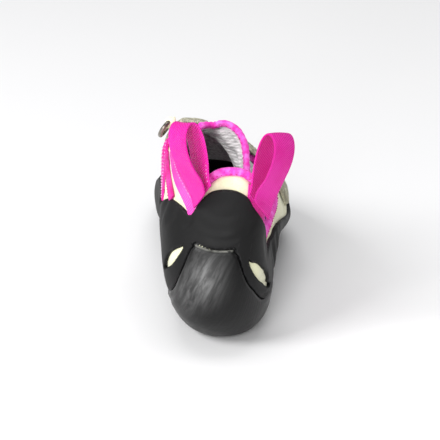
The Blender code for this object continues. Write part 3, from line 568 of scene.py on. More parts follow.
# Materials
class Finish:
    """A procedural material, built up from colour mottling and layers of bump."""

    def __init__(self, name, **settings):
        self.material = bpy.data.materials.new(name)
        self.material.use_nodes = True
        self.tree = self.material.node_tree
        self.shader = self.tree.nodes["Principled BSDF"]
        self.height = None
        for key, value in settings.items():
            self.feed(self.shader.inputs[key.replace("_", " ")], value)

    def node(self, kind, **values):
        made = self.tree.nodes.new(kind)
        for key, value in values.items():
            if hasattr(made, key):
                setattr(made, key, value)
            else:
                self.feed(made.inputs[key.replace("_", " ")], value)
        return made

    def feed(self, socket, value):
        if isinstance(value, bpy.types.NodeSocket):
            self.tree.links.new(value, socket)
        else:
            socket.default_value = (*value, 1) if socket.type == "RGBA" else value

    def math(self, operation, *values):
        made = self.node("ShaderNodeMath", operation=operation)
        for socket, value in zip(made.inputs, values):
            self.feed(socket, value)
        return made.outputs[0]

    def times(self, first, second):
        return self.math("MULTIPLY", first, second)

    def place(self, stretch=(1, 1, 1), turn=0.0, by="Object"):
        coordinates = self.node("ShaderNodeTexCoord")
        return self.node("ShaderNodeMapping", Vector=coordinates.outputs[by], Scale=stretch,
                         Rotation=(0, 0, turn)).outputs[0]

    def noise(self, scale, detail=4.0, roughness=0.55, stretch=(1, 1, 1), turn=0.0, by="Object", warp=0.0):
        made = self.node("ShaderNodeTexNoise", Vector=self.place(stretch, turn, by), Scale=scale,
                         Detail=detail, Roughness=roughness, Distortion=warp)
        return made.outputs["Fac"]

    def cells(self, scale):
        return self.node("ShaderNodeTexVoronoi", Vector=self.place(), Scale=scale).outputs["Distance"]

    def ribs(self, pitch, axis):
        """A wave with crests a pitch apart along one axis of the UV map, from 0 to 1."""
        split = self.node("ShaderNodeSeparateXYZ", Vector=self.place(by="UV"))
        wave = self.math("SINE", self.times(split.outputs[axis], 2 * math.pi / pitch))
        return self.math("MULTIPLY_ADD", wave, 0.5, 0.5)

    def mark(self, name):
        return self.node("ShaderNodeAttribute", attribute_name=name).outputs["Fac"]

    def between(self, value, low, high, to_low=0.0, to_high=1.0):
        made = self.node("ShaderNodeMapRange", interpolation_type="SMOOTHSTEP", Value=value)
        for key, number in (("From Min", low), ("From Max", high), ("To Min", to_low), ("To Max", to_high)):
            made.inputs[key].default_value = number
        return made.outputs["Result"]

    def mix(self, share, first, second):
        made = self.node("ShaderNodeMix", data_type="RGBA")
        for i, value in ((0, share), (6, first), (7, second)):
            self.feed(made.inputs[i], value)
        return made.outputs[2]

    def blend(self, value, low, high, first, second):
        """The first colour where a value is low, turning to the second where it is high."""
        return self.mix(self.between(value, low, high), first, second)

    def colour(self, value):
        self.feed(self.shader.inputs["Base Color"], value)

    def rough(self, value, low, high):
        self.feed(self.shader.inputs["Roughness"], self.between(value, 0.3, 0.7, low, high))

    def bump(self, value, depth):
        """Adds a layer of relief, depth in metres from its 0 to its 1."""
        made = self.node("ShaderNodeBump", Height=value, Distance=depth, Strength=1.0)
        if self.height is not None:
            self.feed(made.inputs["Normal"], self.height)
        self.height = made.outputs["Normal"]
        self.feed(self.shader.inputs["Normal"], self.height)


def scaled(tone, *shares):
    return tuple(value * share for value, share in zip(tone, shares * 3))


def rubber(name, tone, roughness, shine, streaks=()):
    """Black rubber, dusty in patches and pale at its edges. Streaks are a turn and a stretch each."""
    made = Finish(name, Roughness=roughness, Specular_IOR_Level=shine)
    patches = made.noise(38, 5, 0.6, warp=0.4)
    base = made.blend(patches, 0.45, 0.75, scaled(tone, 0.75), scaled(tone, 1.275))
    worn = made.between(made.mark("edge"), 0.25, 1.0, 1.0, 0.0)
    fleck = made.between(made.noise(420, 3), 0.42, 0.62)
    base = made.mix(made.times(made.times(worn, fleck), 0.35), base, (0.045, 0.045, 0.047))
    made.colour(base)
    made.rough(patches, roughness - 0.05, roughness + 0.09)
    made.bump(made.noise(900, 3), 0.00006)
    made.bump(made.noise(110, 4), 0.00012)
    for turn, stretch in streaks:
        made.bump(made.noise(520, 3, 0.6, stretch, turn, "UV", 0.3), 0.00010)
    return made, base


def cup_finish():
    """Satin rubber. Its top edge has a pale line, glue with a painted highlight, and its back a streaky
    patch of painted sheen with chalk dust.
    """
    streaks = ((0.5, (1, 0.10, 1)), (-0.35, (1, 0.13, 1)), (1.5, (0.9, 0.12, 1)))
    made, base = rubber("cup_rubber_satin", (0.0040, 0.0040, 0.0042), 0.38, 0.24, streaks)
    # The pale line along the top edge: glue, with a painted highlight on the lit rim.
    line = made.times(made.mark("pale"), made.between(made.noise(180, 3), 0.30, 0.55))
    base = made.mix(line, base, (0.42, 0.42, 0.38))
    # Where the rubbed mark is high, a light grey streaky patch: a painted sheen with chalk dust.
    one_way = made.between(made.noise(240, 4, 0.6, (1, 0.16, 1), 0.5, "UV", 0.3), 0.40, 0.66)
    other_way = made.between(made.noise(260, 4, 0.6, (1, 0.18, 1), -0.4, "UV", 0.3), 0.44, 0.70)
    streak = made.math("MULTIPLY_ADD", made.math("MAXIMUM", one_way, other_way), 0.75, 0.30)
    made.colour(made.mix(made.times(made.mark("chalk"), streak), base, (0.17, 0.17, 0.17)))
    return made.material


def leather_finish():
    made = Finish("cream_leather", Roughness=0.82, Sheen_Weight=0.35, Sheen_Roughness=0.5,
                  Specular_IOR_Level=0.25)
    base = made.blend(made.noise(55, 4, 0.6), 0.35, 0.7, (0.86, 0.85, 0.56), (0.94, 0.93, 0.70))
    speck = made.between(made.noise(1500, 2), 0.50, 0.68)
    base = made.mix(made.times(speck, 0.24), base, (0.60, 0.60, 0.30))
    dirt = made.between(made.noise(24, 5, 0.65), 0.56, 0.80)
    made.colour(made.mix(made.times(dirt, 0.30), base, (0.50, 0.49, 0.33)))
    made.bump(made.noise(1300, 3), 0.00018)
    made.bump(made.noise(260, 3), 0.00015)
    return made.material


def webbing_finish(name, tone, light, gloss):
    """Ribbed webbing: crosswise ribs with painted shade in their grooves, and thinner threads along it."""
    made = Finish(name, Roughness=gloss, Sheen_Weight=0.12, Sheen_Roughness=0.30, Specular_IOR_Level=0.25,
                  Sheen_Tint=(1.0, 0.35, 0.85))
    rib = made.ribs(0.00130, 1)
    base = made.blend(made.noise(70, 3), 0.3, 0.7, tone, light)
    # Painted shade: the colour darkens into each groove between the ribs.
    groove_shade = made.times(made.math("SUBTRACT", 1.0, rib), 0.60)
    made.colour(made.mix(groove_shade, base, scaled(tone, 0.60, 0.40, 0.50)))
    made.bump(rib, 0.00028)
    made.bump(made.ribs(0.00046, 0), 0.00005)
    made.bump(made.noise(700, 3), 0.00008)
    return made.material


def binding_finish():
    """Soft pink tape, lighter in patches as a painted sheen where its pile catches the light, and with
    small dimples darkened by painted shade.
    """
    made = Finish("binding_tape", Roughness=0.72, Sheen_Weight=0.25, Sheen_Roughness=0.4,
                  Specular_IOR_Level=0.2, Sheen_Tint=(1.0, 0.55, 0.9))
    base = made.blend(made.noise(190, 4, 0.6), 0.38, 0.66, (0.90, 0.045, 0.50), (0.98, 0.20, 0.76))
    # Painted shade in the dimples.
    flat = made.between(made.cells(460), 0.06, 0.24)
    made.colour(made.mix(made.times(made.math("SUBTRACT", 1.0, flat), 0.55), base, (0.50, 0.006, 0.20)))
    made.bump(made.cells(460), 0.00030)
    made.bump(made.noise(1100, 2), 0.00010)
    return made.material


def knit_finish(name, dark, light, pitch):
    """Marled ribbed knit: rows of soft ribs and a mixed yarn."""
    made = Finish(name, Roughness=0.9, Sheen_Weight=0.3, Specular_IOR_Level=0.2)
    made.colour(made.blend(made.noise(620, 4, 0.7, (1, 0.45, 1), by="UV"), 0.38, 0.62, dark, light))
    made.bump(made.ribs(pitch, 1), 0.00035)
    made.bump(made.ribs(pitch * 0.42, 0), 0.00018)
    made.bump(made.noise(900, 3), 0.00025)
    return made.material


def thread_finish(name, tone):
    made = Finish(name, Roughness=0.55, Sheen_Weight=0.2)
    made.colour(made.blend(made.noise(900, 2), 0.35, 0.65, scaled(tone, 0.7), tone))
    made.bump(made.noise(2600, 2, stretch=(1, 1, 0.3)), 0.00006)
    return made.material


def metal_finish():
    made = Finish("ring_metal", Roughness=0.34, Metallic=1.0)
    scuff = made.noise(160, 5, 0.65)
    made.colour(made.blend(scuff, 0.35, 0.7, (0.16, 0.14, 0.12), (0.34, 0.31, 0.27)))
    made.rough(scuff, 0.26, 0.46)
    made.bump(made.noise(700, 3), 0.00003)
    return made.material


def floor_finish():
    made = Finish("paper_floor", Roughness=0.9, Specular_IOR_Level=0.1)
    made.colour(made.blend(made.noise(1.6, 3), 0.3, 0.7, (0.905, 0.905, 0.915), (0.925, 0.925, 0.93)))
    return made.material


RAND = rubber("rand_rubber_matte", (0.0075, 0.0075, 0.0078), 0.56, 0.20)[0].material
CUP = cup_finish()
LEATHER = leather_finish()
WEBBING = webbing_finish("webbing_hot", (0.91, 0.011, 0.40), (0.96, 0.030, 0.50), 0.50)
WEBBING_LIGHT = webbing_finish("webbing_light", (0.93, 0.055, 0.50), (0.97, 0.14, 0.64), 0.65)
WEBBING_DOTTED = webbing_finish("webbing_dotted", (0.84, 0.006, 0.32), (0.94, 0.09, 0.58), 0.65)
BINDING = binding_finish()
LINING = knit_finish("lining_marl", (0.50, 0.50, 0.49), (0.88, 0.88, 0.87), 0.0018)
# Near black: a dark lining, darkened further as painted shade inside the shoe. The upper's outside also takes
# it as painted shade beside its seams.
DARK_LINING_AND_SHADE = knit_finish("dark_lining_and_shade", (0.0015, 0.0015, 0.0016), (0.003, 0.003, 0.0032), 0.0016)
STRAP_KNIT = knit_finish("strap_knit", (0.40, 0.39, 0.28), (0.72, 0.71, 0.54), 0.0013)
FOOTBED = knit_finish("footbed", (0.012, 0.012, 0.013), (0.03, 0.03, 0.032), 0.0011)
THREAD_PINK = thread_finish("thread_magenta", (0.62, 0.008, 0.26))
THREAD_PALE = thread_finish("thread_pale", (0.95, 0.42, 0.78))
THREAD_CREAM = thread_finish("thread_cream", (0.80, 0.79, 0.55))
RING = metal_finish()
FLOOR = floor_finish()


# Rubber, leather and lining
def rubber_piece(name, node, slot_name, finish, station, angle, near, thick, crease=1.0, worn=0.0016,
                 missing=None, **marks):
    """A rubber sheet on the last. Its edge, up to the distance worn, is flecked by the finish."""
    outer = laid(station, angle, RUBBER_BASE + thick, crease)
    inner = laid(station, angle, RUBBER_BACK, crease)
    marks["edge"] = np.clip(near / worn, 0, 1)
    return named(sheet(name, outer, inner, finish, missing=missing, marks=marks), slot_name, node)


def faded(near):
    """0 at an edge, 1 from 4 mm inside it."""
    return np.clip(near / 0.004, 0, 1)


def from_last_row(points):
    down = lengths_along(points, 0)
    return down[-1:] - down


def painted_seam_shade(station, angle):
    """Where the upper's outside takes the near-black finish as painted shade: along the heel cup's edge,
    in the gap above it, and in the notch of the sling.
    """
    edge = np.where(angle < 0, smooth_table(CUP_EDGE, station, 1), smooth_table(CUP_EDGE, station, 2))
    beside = (np.abs(np.abs(angle) - edge) < 4.5) & (station < 14.02) & (station > 8.9)
    above = (np.abs(station - 14.03) < 0.12) & (angle > -36) & (angle < 18)
    strap = np.interp(angle, (-93, -77, -65, -55, -43, -38), (14.95, 15.12, 15.08, 14.98, 14.78, 14.64))
    notch = (angle < -33) & (angle > -93) & (station > strap)
    return beside | above | notch


def weld_tip(mesh):
    """Joins the upper's tiny faces at the tip of the toe."""
    shape = bmesh.new()
    shape.from_mesh(mesh)
    tip = [point for point in shape.verts if point.co.y > SHIFT[1] + LENGTH - 0.003]
    bmesh.ops.remove_doubles(shape, verts=tip, dist=WELD * 10)
    shape.to_mesh(mesh)
    shape.free()


def upper():
    rows, turns = 168, 216
    directions = np.linspace(-180, 180, turns + 1)[:-1]
    share, direction = np.meshgrid(np.linspace(0, 1, rows + 1), directions, indexing="ij")
    station, angle = upper_place(share, direction)
    station[0] = 0.02
    base = on_last(station, angle)
    soft = swell(base, 0.030, 0.00030, 1.0) * np.clip((share - 0.1) / 0.2, 0, 1) * (base[..., 2] > 0.004)
    thinner = WALL * 0.45 * (1 - rounded(from_last_row(base), WALL * 0.8))
    outer = laid(station, angle, soft - thinner, 1.0)
    inner = laid(station, angle, soft * 0.6 - WALL + thinner, 0.7)
    outer[0] = on_last(0.0, 0.0) + SHIFT
    inner[0] = on_last(0.0, 0.0) - (0, WALL, 0) + SHIFT
    start, end, half = LASTING_OPENING
    middle = (share[:-1] + share[1:]) / 2
    missing = (middle > start) & (middle < end) & (np.abs(direction[:-1] + 180 / turns) < half)
    # Painted shade on the upper's outside, beside the seams of the rubber.
    dark = painted_seam_shade(station, angle)[:-1].astype(int)
    made = sheet("upper_skin", outer, inner, (LEATHER, DARK_LINING_AND_SHADE), True, missing, dark)
    weld_tip(made.data)
    return named(made, "upper_leather", "upper")


def collar_inside():
    """The pink facing inside the low outer part of the collar."""
    share, direction = np.meshgrid(np.linspace(0.90, 0.995, 12), np.linspace(20, 100, 90), indexing="ij")
    station, angle = upper_place(share, direction)
    outer = laid(station, angle, -WALL - 0.00015, 0.7)
    inner = laid(station, angle, -WALL - 0.00075, 0.7)
    return named(sheet("collar_facing", outer, inner, BINDING), "binding")


def outsole():
    station, share = np.meshgrid(eased_between(SOLE_ENDS, 120), eased_between((-1, 1), 70), indexing="ij")
    angle = smooth_table(SOLE_EDGE, station, 1) * share
    near = edge_distance(on_last(station, angle))
    thick = SOLE_THICKNESS * np.clip((9.9 - station) / 2.4, 0.45, 1.0) * rounded(near, 0.0016)
    # The front sole takes the cup's finish, with a faint even share of its painted sheen and chalk colour.
    return rubber_piece("front_sole", "outsole", "cup_rubber", CUP, station, angle, near, thick, 0.4, 0.002,
                        pale=near * 0, chalk=near * 0 + 0.08)


def heel_cup():
    station, share = np.meshgrid(eased_between(CUP_ENDS, 130), eased_between((-1, 1), 110), indexing="ij")
    medial = smooth_table(CUP_EDGE, station, 1) + 0.5
    lateral = smooth_table(CUP_EDGE, station, 2) + 0.5
    angle = np.where(share < 0, medial, lateral) * share
    base = on_last(station, angle)
    near = edge_distance(base, (0, 1, 1, 1))
    lift = CUP_THICKNESS * (0.75 + 0.25 * (1 - np.abs(share) ** 6))
    belly = np.interp(station, (11.5, 12.6, 13.15, 13.6, 14.0), (1.0, 1.10, 1.22, 0.95, 0.55))
    thick = lift * np.clip((station - 8.6) / 1.8, 0.5, 1.0) * belly * rounded(near, 0.0024)
    above_floor = np.clip((base[..., 2] - 0.004) / 0.01, 0, 1)
    uneven = swell(base, 0.024, 0.00022, 4.0) * faded(near) * above_floor
    behind = np.clip((angle + 33) / 3, 0, 1) * np.clip((13 - angle) / 3, 0, 1)
    # A pale line along the top edge across the back: glue, with a painted highlight.
    pale = bell(from_last_row(base), 0, 0.0006) * behind
    # A painted sheen with chalk dust: a streaky patch at the back and a weaker one towards the medial side.
    chalk = bell(station, 13.42, 0.42) * bell(angle, -13, 15)
    chalk += 0.45 * bell(station, 12.9, 0.5) * bell(angle, -34, 16)
    return rubber_piece("heel_cup_shell", "heel_cup", "cup_rubber", CUP, station, angle, near, thick + uneven,
                        worn=0.002, pale=pale, chalk=chalk)


def band_thickness(base, near, *waves):
    return RAND_THICKNESS * rounded(near, EDGE_ROUND) + swell(base, *waves) * faded(near)


def nearest(base, points):
    """Distance from each point of a grid to the nearest of some points."""
    near = np.full(base.shape[:2], 1.0)
    for point in points:
        near = np.minimum(near, np.linalg.norm(base - point, axis=-1))
    return near


def side_distance(base):
    across = lengths_along(base, 1)
    return np.minimum(across, across[:, -1:] - across)


# Where each cut-out of the sling rand starts and ends, in rows of its table, and how blunt its tips are
CUT_OUTS = ((3.45, 9.35, 0.62), (18.7, 22.45, 0.55))


def sling_rand():
    spans = 12
    below, between, above = 12, 4, 26
    table = smooth_rows(SLING, spans)
    row = np.arange(len(table)) / spans
    low, cut, end, top = (table[:, 2 * i:2 * i + 2] for i in range(4))
    low = low - (0.012, 0)
    sign = np.where(low[:, 1] > 0, 1, -1)
    cup = np.where(sign > 0, smooth_table(CUP_EDGE, low[:, 0], 2), smooth_table(CUP_EDGE, low[:, 0], 1)) + 1.0
    beside = (low[:, 0] < 13.95) & (low[:, 0] > 9.1)
    low[:, 1] = np.where(beside, sign * np.minimum(np.abs(low[:, 1]), cup), low[:, 1])
    middle, half = (cut + end) / 2, (end - cut) / 2
    opened = np.zeros(len(table), bool)
    for first, last, blunt in CUT_OUTS:
        t = np.clip((row - first) / (last - first), 0, 1)
        inside = (t > 0) & (t < 1)
        wide = half[inside] * (np.sin(math.pi * t[inside]) ** blunt * 1.08)[:, None]
        cut[inside], end[inside] = middle[inside] - wide, middle[inside] + wide
        opened |= inside
    for i in np.flatnonzero(np.diff(opened.astype(int))):
        tip = i if opened[i + 1] else i + 1
        cut[tip] = end[tip] = middle[tip]
    parts = [start[:, None] + (stop - start)[:, None] * eased(steps + 1)[None, :, None]
             for start, stop, steps in ((low, cut, below), (cut, end, between), (end, top, above))]
    grid = np.concatenate([parts[0][:, :-1], parts[1][:, :-1], parts[2]], 1)
    station, angle = grid[..., 0], grid[..., 1]
    base = on_last(station, angle)
    missing = np.zeros((len(base) - 1, base.shape[1] - 1), bool)
    missing[:, below:below + between] = (opened[:-1] | opened[1:])[:, None]
    rim = np.concatenate([base[opened, below], base[opened, below + between]])
    near = np.minimum(side_distance(base), nearest(base, rim[::2]))
    return rubber_piece("sling_band", "sling_rand", "rand_rubber", RAND, station, angle, near,
                        band_thickness(base, near, 0.026, 0.00022, 2.0), missing=missing)


def toe_rand():
    top = smooth_rows(TOE_RAND_TOP, 14)
    tail = np.stack([np.linspace(2.5, 0.06, 64)[1:], np.full(63, 180.0), np.full(63, 180.0)], 1)
    table = np.vstack([top, tail])
    table[:, 0] = np.minimum(table[:, 0], RAND_END)
    low = smooth_table(SOLE_EDGE, table[:, 0], 1)[:, None] + 2.0
    share = eased(44)
    lateral = low + (table[:, 1:2] - low) * share
    medial = -low - (table[:, 2:] - low) * share
    angle = np.concatenate([lateral, medial[:, ::-1]], 1)
    station = np.repeat(table[:, :1], angle.shape[1], 1)
    base = on_last(station, angle)
    between = len(share) - 1
    missing = np.zeros((len(base) - 1, base.shape[1] - 1), bool)
    missing[:, between] = True
    rim = np.concatenate([base[:len(top), between], base[:len(top), between + 1]])
    near = np.minimum(nearest(base, rim), side_distance(base) + 0.0003)
    return rubber_piece("toe_band", "toe_rand", "rand_rubber", RAND, station, angle, near,
                        band_thickness(base, near, 0.03, 0.0002, 3.0), missing=missing)


def tongue():
    table = smooth_rows(TONGUE, 14)
    shares = eased(130)
    angle = np.repeat(table[None, :, 0], len(shares), 0)
    station = table[None, :, 1] + (table[:, 2] - table[:, 1])[None, :] * shares[:, None]
    base = on_last(station, angle)
    near = edge_distance(base)
    from_rim = from_last_row(base)
    fade = np.clip(1 - from_rim / 0.055, 0, 1) * np.clip(near / 0.003, 0, 1)
    ribs = np.cos(from_rim * 2 * math.pi / 0.0052 + swell(base, 0.02, 1.2, 6.0)) * 0.00065
    puff = swell(base, 0.016, 0.0004, 5.0) * faded(near)
    full = TONGUE_THICKNESS * rounded(near, 0.0014)
    outer = laid(station, angle, -TONGUE_DEPTH)
    inner = laid(station, angle, -TONGUE_DEPTH - full - (ribs * 0.9 + 0.0006 - puff) * fade)
    made = sheet("tongue_pad", outer, inner, LINING)
    return named(made, "lining", "tongue")


def insole():
    station, share = np.meshgrid(eased_between(INSOLE_ENDS, 90), eased_between((-1, 1), 44), indexing="ij")
    angle = np.interp(station, (0.9, 3.0, 8.0, 11.0, 12.0), (50, 46, 42, 48, 40)) * share
    near = edge_distance(on_last(station, angle))
    outer = laid(station, angle, -INSOLE_DEPTH)
    inner = laid(station, angle, -INSOLE_DEPTH - INSOLE_THICKNESS * rounded(near, 0.0012))
    return named(sheet("footbed", outer, inner, FOOTBED), "insole", "insole")


# Bindings, tapes and straps
def bead(name, node, rim, normal, inside, height, sheet_depth, thickness, lumps):
    """A rolled edge along a rim, flattened, with the puckers that its stitches pull in."""
    up = np.cross(unit(np.gradient(rim, axis=0)), normal)
    up = unit(up * np.sign(np.sum(up * (rim - inside), 1, keepdims=True)))
    middle = rim - normal * sheet_depth / 2 + up * (GAP * 0.3 + height / 2)
    distance = lengths_along(rim[:, None], 0)[:, 0]
    turn = distance * 2 * math.pi
    pucker = 1 + lumps * np.sin(turn / 0.0034) + lumps * 0.8 * np.sin(turn / 0.0127)
    turns = full_turn(20)
    wave, thin = squarish(np.cos(turns), 0.62), squarish(np.sin(turns), 0.62)
    closing = np.sqrt(np.clip(np.minimum(distance, distance[-1] - distance) / 0.0012, 0.02, 1))
    rings = (middle[:, None] + fan(up, wave * height / 2 * closing[:, None])
             + fan(normal, thin * thickness / 2 * (closing * pucker)[:, None]))
    made = named(tube(name, rings + SHIFT, BINDING), "binding", node)
    for row, way, low, length, pitch, slant in (("stitches", 1, 0.28, 0.0013, 0.0027, 0.0004),
                                                ("inner_stitches", -1, 0.20, 0.0015, 0.0030, 0.0006)):
        face = middle + normal * (way * thickness / 2) - up * height * low + SHIFT
        stitch_row(face, normal * way, THREAD_PINK, name + "_" + row, length, pitch, THREAD_RADIUS, 0.00002,
                   slant)
    return made


def collar_bead(name, start, end, count, node):
    directions = np.linspace(start, end, count)
    place = upper_place(1.0, directions)
    before = on_last(*upper_place(0.97, directions))
    return bead(name, node, on_last(*place), outward(*place), before, BINDING_HEIGHT, WALL,
                BINDING_THICKNESS, 0.10)


def tongue_bead():
    table = smooth_rows(TONGUE, 30)
    angles, _, rim = table[table[:, 0] < 214].T
    normal = outward(rim, angles)
    edge, before = (on_last(station, angles) - normal * TONGUE_DEPTH for station in (rim, rim - 1))
    return bead("tongue_rim", "tongue_binding", edge, normal, before, BINDING_HEIGHT * 0.8, TONGUE_THICKNESS,
                BINDING_THICKNESS, 0.12)


def loop_patch():
    """The dotted patch under the lateral loop, from the sling's top to the collar's edge."""
    angles = np.linspace(20.5, 61.0, 60)
    tops = smooth_rows(np.array(SLING, float)[:16, 6:8], 8)
    tops = tops[np.argsort(tops[:, 1])]
    low = np.interp(angles, tops[:, 1], tops[:, 0])[:, None] - 0.06
    edge_station, edge_angle = upper_place(1.0, np.linspace(6, 50, 120))
    high = np.interp(angles, edge_angle, edge_station)[:, None] - 0.05
    station = low + (high - low) * eased(16)
    angle = np.repeat(angles[:, None], 16, 1)
    near = edge_distance(on_last(station, angle))
    base = GAP * 0.8
    outer = laid(station, angle, base + 0.0007 * rounded(near, 0.0008))
    inner = laid(station, angle, base * 0.4)
    named(sheet("loop_patch", outer, inner, WEBBING_DOTTED), "webbing")
    normal = outward(station, angle)
    for i, column in enumerate((4, 8, 12)):
        stitch_row(outer[3:-3, column], normal[3:-3, column], THREAD_PINK, "loop_patch_stitches_%d" % i,
                   0.0012, 0.0021, THREAD_RADIUS, 0.0, 0.0007)


def ribbon_grid(line, width, count, across):
    """Stations and angles of a flat band's threads, along a line on the last."""
    line = smooth_rows([(station, angle - 360 if angle > 0 else angle) for station, angle in line], 24)
    at = np.linspace(0, len(line) - 1, count)
    station, angle = (np.interp(at, np.arange(len(line)), line[:, i]) for i in (0, 1))
    side = unit(np.cross(outward(station, angle), np.gradient(on_last(station, angle), axis=0)))
    step, turn = 0.01, 0.5
    by_station = (on_last(station + step, angle) - on_last(station - step, angle)) / (2 * step)
    by_angle = (on_last(station, angle + turn) - on_last(station, angle - turn)) / (2 * turn)
    shift = np.stack([np.linalg.lstsq(np.stack([a, b], 1), s, rcond=None)[0]
                      for a, b, s in zip(by_station, by_angle, side)])
    shares = (eased(across) - 0.5) * width
    return station[:, None] + shift[:, :1] * shares, angle[:, None] + shift[:, 1:] * shares


def ribbon(name, nodes, line, width, base, thickness, finish, slot_name, rows, thread):
    station, angle = ribbon_grid(line, width, 130, 22)
    points = on_last(station, angle)
    full = thickness * rounded(edge_distance(points), thickness * 0.6)
    outer = laid(station, angle, base + full + swell(points, 0.018, 0.00018, 7.0))
    inner = laid(station, angle, base * 0.5)
    named(sheet(name, outer, inner, finish), slot_name, *nodes)
    for i in range(rows):
        column = 3 + (len(station[0]) - 7) * i // (rows - 1)
        stitch_row(outer[4:-4, column], outward(station[4:-4, column], angle[4:-4, column]), thread,
                   "%s_stitches_%d" % (name, i), 0.0013, 0.0024, THREAD_RADIUS, 0.00006)


def ring():
    """The ring, flattened to a rounded oblong, and the strap's fold round its inner bar."""
    station, angle = RING_PLACE
    centre = off_last(station, angle, STRAP_THICKNESS + RING_WIRE * 1.04 + GAP)
    out = outward(station, angle)
    along = unit(on_last(station + 0.3, angle) - on_last(station - 0.3, angle))
    across = np.cross(out, along)
    half_height = RING_WIDTH * 0.28
    turns = full_turn(96)
    path = (centre + along * (squarish(np.cos(turns), 0.8) * RING_WIDTH / 2)[:, None]
            + across * (squarish(np.sin(turns), 0.8) * half_height)[:, None])
    outwards = np.cross(unit(np.roll(path, -1, 0) - np.roll(path, 1, 0)), out)
    bars = full_turn(16)
    rings = (path[:, None] + fan(outwards, np.cos(bars) * RING_WIRE / 2)
             + fan(out[None], np.sin(bars) * RING_WIRE / 2)) + SHIFT
    named(tube("closure_ring", rings, RING, closed=True), "ring", "d_ring")
    inner_way = np.sign(np.dot(across, on_last(station, angle - 4) - on_last(station, angle + 4)))
    length, drop = 0.0128, 0.0030
    bar = centre + across * inner_way * half_height
    runs = np.linspace(-length / 2, length / 2, 26)
    around = full_turn(28)
    wide = RING_WIRE * 0.5 + 0.0011
    under = np.sin(around) < 0
    shrink = np.clip((length / 2 - np.abs(runs)) / 0.0006, 0.35, 1)
    loops = (bar + along * runs[:, None])[:, None] + shrink[:, None, None] * (
        fan(across[None], inner_way * (np.cos(around) * wide * 1.25 + under * 0.0012))
        + fan(out[None], np.sin(around) * np.where(under, drop, wide)))
    named(tube("strap_fold", loops + SHIFT, LEATHER), "strap_fabric")


def pull_loop(name, node, station, angle, foot_heading, top_heading, drop, lean, tilt, clear):
    seat = off_last(station, angle, clear + RAND_THICKNESS + WEBBING_THICKNESS * 0.5)
    count = 230
    line = smooth_rows(LOOP, 40)
    at = lengths_along(np.column_stack([line, line[:, :1] * 0])[:, None], 0)[:, 0]
    line = np.stack([np.interp(np.linspace(0, at[-1], count), at, line[:, i]) for i in (0, 1)], 1)
    for _ in range(60):
        line[1:-1] = 0.25 * line[:-2] + 0.5 * line[1:-1] + 0.25 * line[2:]
    slant = np.clip(1 - line[:, 1] / 0.4, 0, 1) * drop
    line *= LOOP_HEIGHT
    line[:, 0] += lean * line[:, 1]
    turn = np.radians(foot_heading + (top_heading - foot_heading) * np.clip(line[:, 1] / LOOP_HEIGHT, 0, 1))
    wide = unit(np.stack([np.cos(turn), np.sin(turn), np.full(count, -0.25)], 1))
    out = outward(station, angle) * (1, 1, 0)
    out = unit(out - wide * np.sum(out * wide, 1, keepdims=True))
    rise = np.cross(wide, out)
    rise *= np.sign(rise[:, 2:])
    path = seat + out * line[:, :1] + (rise + wide * tilt) * line[:, 1:]
    normal = unit(np.cross(np.gradient(path, axis=0), wide))
    shares = (eased(26) - 0.5) * LOOP_WIDTH
    edge = LOOP_WIDTH / 2 - np.abs(shares)
    thick = WEBBING_THICKNESS * (rounded(edge, 0.0006) * 0.92 + 0.10 * bell(edge, 0.0012, 0.0006))
    bow = 0.0005 * (1 - (2 * shares / LOOP_WIDTH) ** 2)
    middle = path[:, None] + fan(wide, shares) - fan(rise, shares * slant[:, None]) + SHIFT
    outer, inner = (middle + fan(normal, bow + way * thick / 2) for way in (1, -1))
    named(sheet(name, outer, inner, WEBBING), "webbing", node)
    for i, column in enumerate((3, 22)):
        stitch_row(outer[6:44, column], normal[6:44], THREAD_PALE, "%s_foot_stitches_%d" % (name, i), 0.0011,
                   0.0021, FINE_THREAD_RADIUS, 0.0)


upper()
collar_inside()
outsole()
heel_cup()
sling_rand()
toe_rand()
tongue()
insole()
collar_bead("collar_rim", -33.0, 164.0, 620, "collar_binding")
collar_bead("collar_rim_inner", -171.0, -54.0, 300, "collar_binding_medial")
tongue_bead()
loop_patch()
ribbon("side_tape", (), SIDE_TAPE, SIDE_TAPE_WIDTH, GAP * 2.6, 0.0008, WEBBING_DOTTED, "webbing", 2,
       THREAD_PINK)
for where, finish, rows, thread in (("rear", WEBBING_LIGHT, 2, THREAD_PALE),
                                    ("middle", WEBBING_DOTTED, 3, THREAD_PALE),
                                    ("front", WEBBING_LIGHT, 2, THREAD_PINK)):
    ribbon("strap_fork_" + where, ("fork_strap_" + where,), FORKS[where], FORK_WIDTH, GAP, WEBBING_THICKNESS,
           finish, "webbing", rows, thread)
ribbon("strap_closure", ("closure_strap",), STRAP, STRAP_WIDTH, GAP * 2 + WEBBING_THICKNESS, STRAP_THICKNESS,
       STRAP_KNIT, "strap_fabric", 2, THREAD_CREAM)
ring()
for loop_name, seats in LOOPS.items():
    pull_loop(loop_name + "_webbing", loop_name, *seats)


# Floor, light and camera
def floor(size, cells):
    x, y = np.meshgrid(*[np.linspace(-size, size, cells + 1)] * 2)
    i, j = (index.reshape(-1) for index in np.meshgrid(np.arange(cells), np.arange(cells), indexing="ij"))
    corner = i * (cells + 1) + j
    mesh = bpy.data.meshes.new("floor")
    mesh.from_pydata(np.stack([x, y, x * 0], -1).reshape(-1, 3).tolist(), [],
                     np.stack([corner, corner + 1, corner + cells + 2, corner + cells + 1], 1).tolist())
    mesh.materials.append(FLOOR)
    linked("floor", mesh)


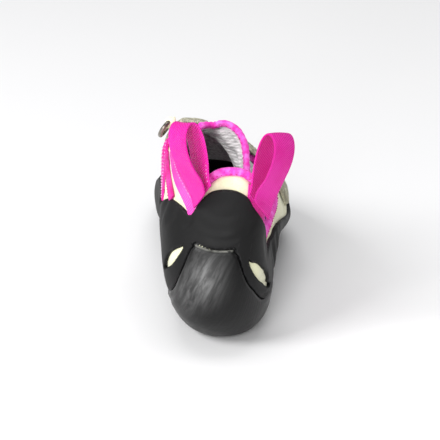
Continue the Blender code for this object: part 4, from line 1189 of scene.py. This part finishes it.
def aimed(made, place, target):
    place, target = np.array(place, float), np.array(target, float)
    back = unit(place - target)
    right = unit(np.cross((0, 0, 1), back))
    turned = np.eye(4)
    turned[:3] = np.stack([right, np.cross(back, right), back, place], 1)
    made.matrix_world = type(made.matrix_world)(turned.tolist())


floor(14.0, 8)
for name, place, target, size, watts in (("key", (-1.30, -0.95, 1.25), (0, 0, 0.05), (0.8, 0.8), 26),
                                         ("front", (-0.20, -1.95, 1.05), (0, 0, 0.05), (1.0, 0.5), 17),
                                         ("low", (-0.40, -1.65, 0.19), (0, -0.10, 0.06), (0.30, 0.20), 5),
                                         ("top", (0.0, 0.2, 2.0), (0, 0, 0.05), (1.4, 1.0), 12)):
    light = bpy.data.lights.new(name, "AREA")
    light.shape = "RECTANGLE"
    light.size, light.size_y = size
    light.energy = watts
    aimed(linked(name, light), place, target)
world = bpy.data.worlds.new("studio")
world.use_nodes = True
world.node_tree.nodes["Background"].inputs["Color"].default_value = (1, 1, 1, 1)
world.node_tree.nodes["Background"].inputs["Strength"].default_value = 0.37
bpy.context.scene.world = world
bpy.context.scene.view_settings.view_transform = "Standard"

AZIMUTH, ELEVATION, DISTANCE = math.radians(1.0), math.radians(23.0), 1.2
METRES_PER_PIXEL = 0.000565
PICTURE_WIDTH = 440
AIM_RIGHT, AIM_UP = 3.5, 113.5  # pixels from the shoe's middle to the middle of the picture
back = np.array([math.sin(AZIMUTH) * math.cos(ELEVATION), -math.cos(AZIMUTH) * math.cos(ELEVATION),
                 math.sin(ELEVATION)])
right = np.array([math.cos(AZIMUTH), math.sin(AZIMUTH), 0])
up = np.cross(back, right)
aim = np.array([0, 0.030, 0]) + SHIFT + (right * AIM_RIGHT + up * AIM_UP) * METRES_PER_PIXEL
lens = bpy.data.cameras.new("camera")
lens.sensor_width = 36
lens.lens = DISTANCE / (METRES_PER_PIXEL * PICTURE_WIDTH) * lens.sensor_width
camera = linked("camera", lens)
aimed(camera, aim + back * DISTANCE, aim)
bpy.context.scene.camera = camera
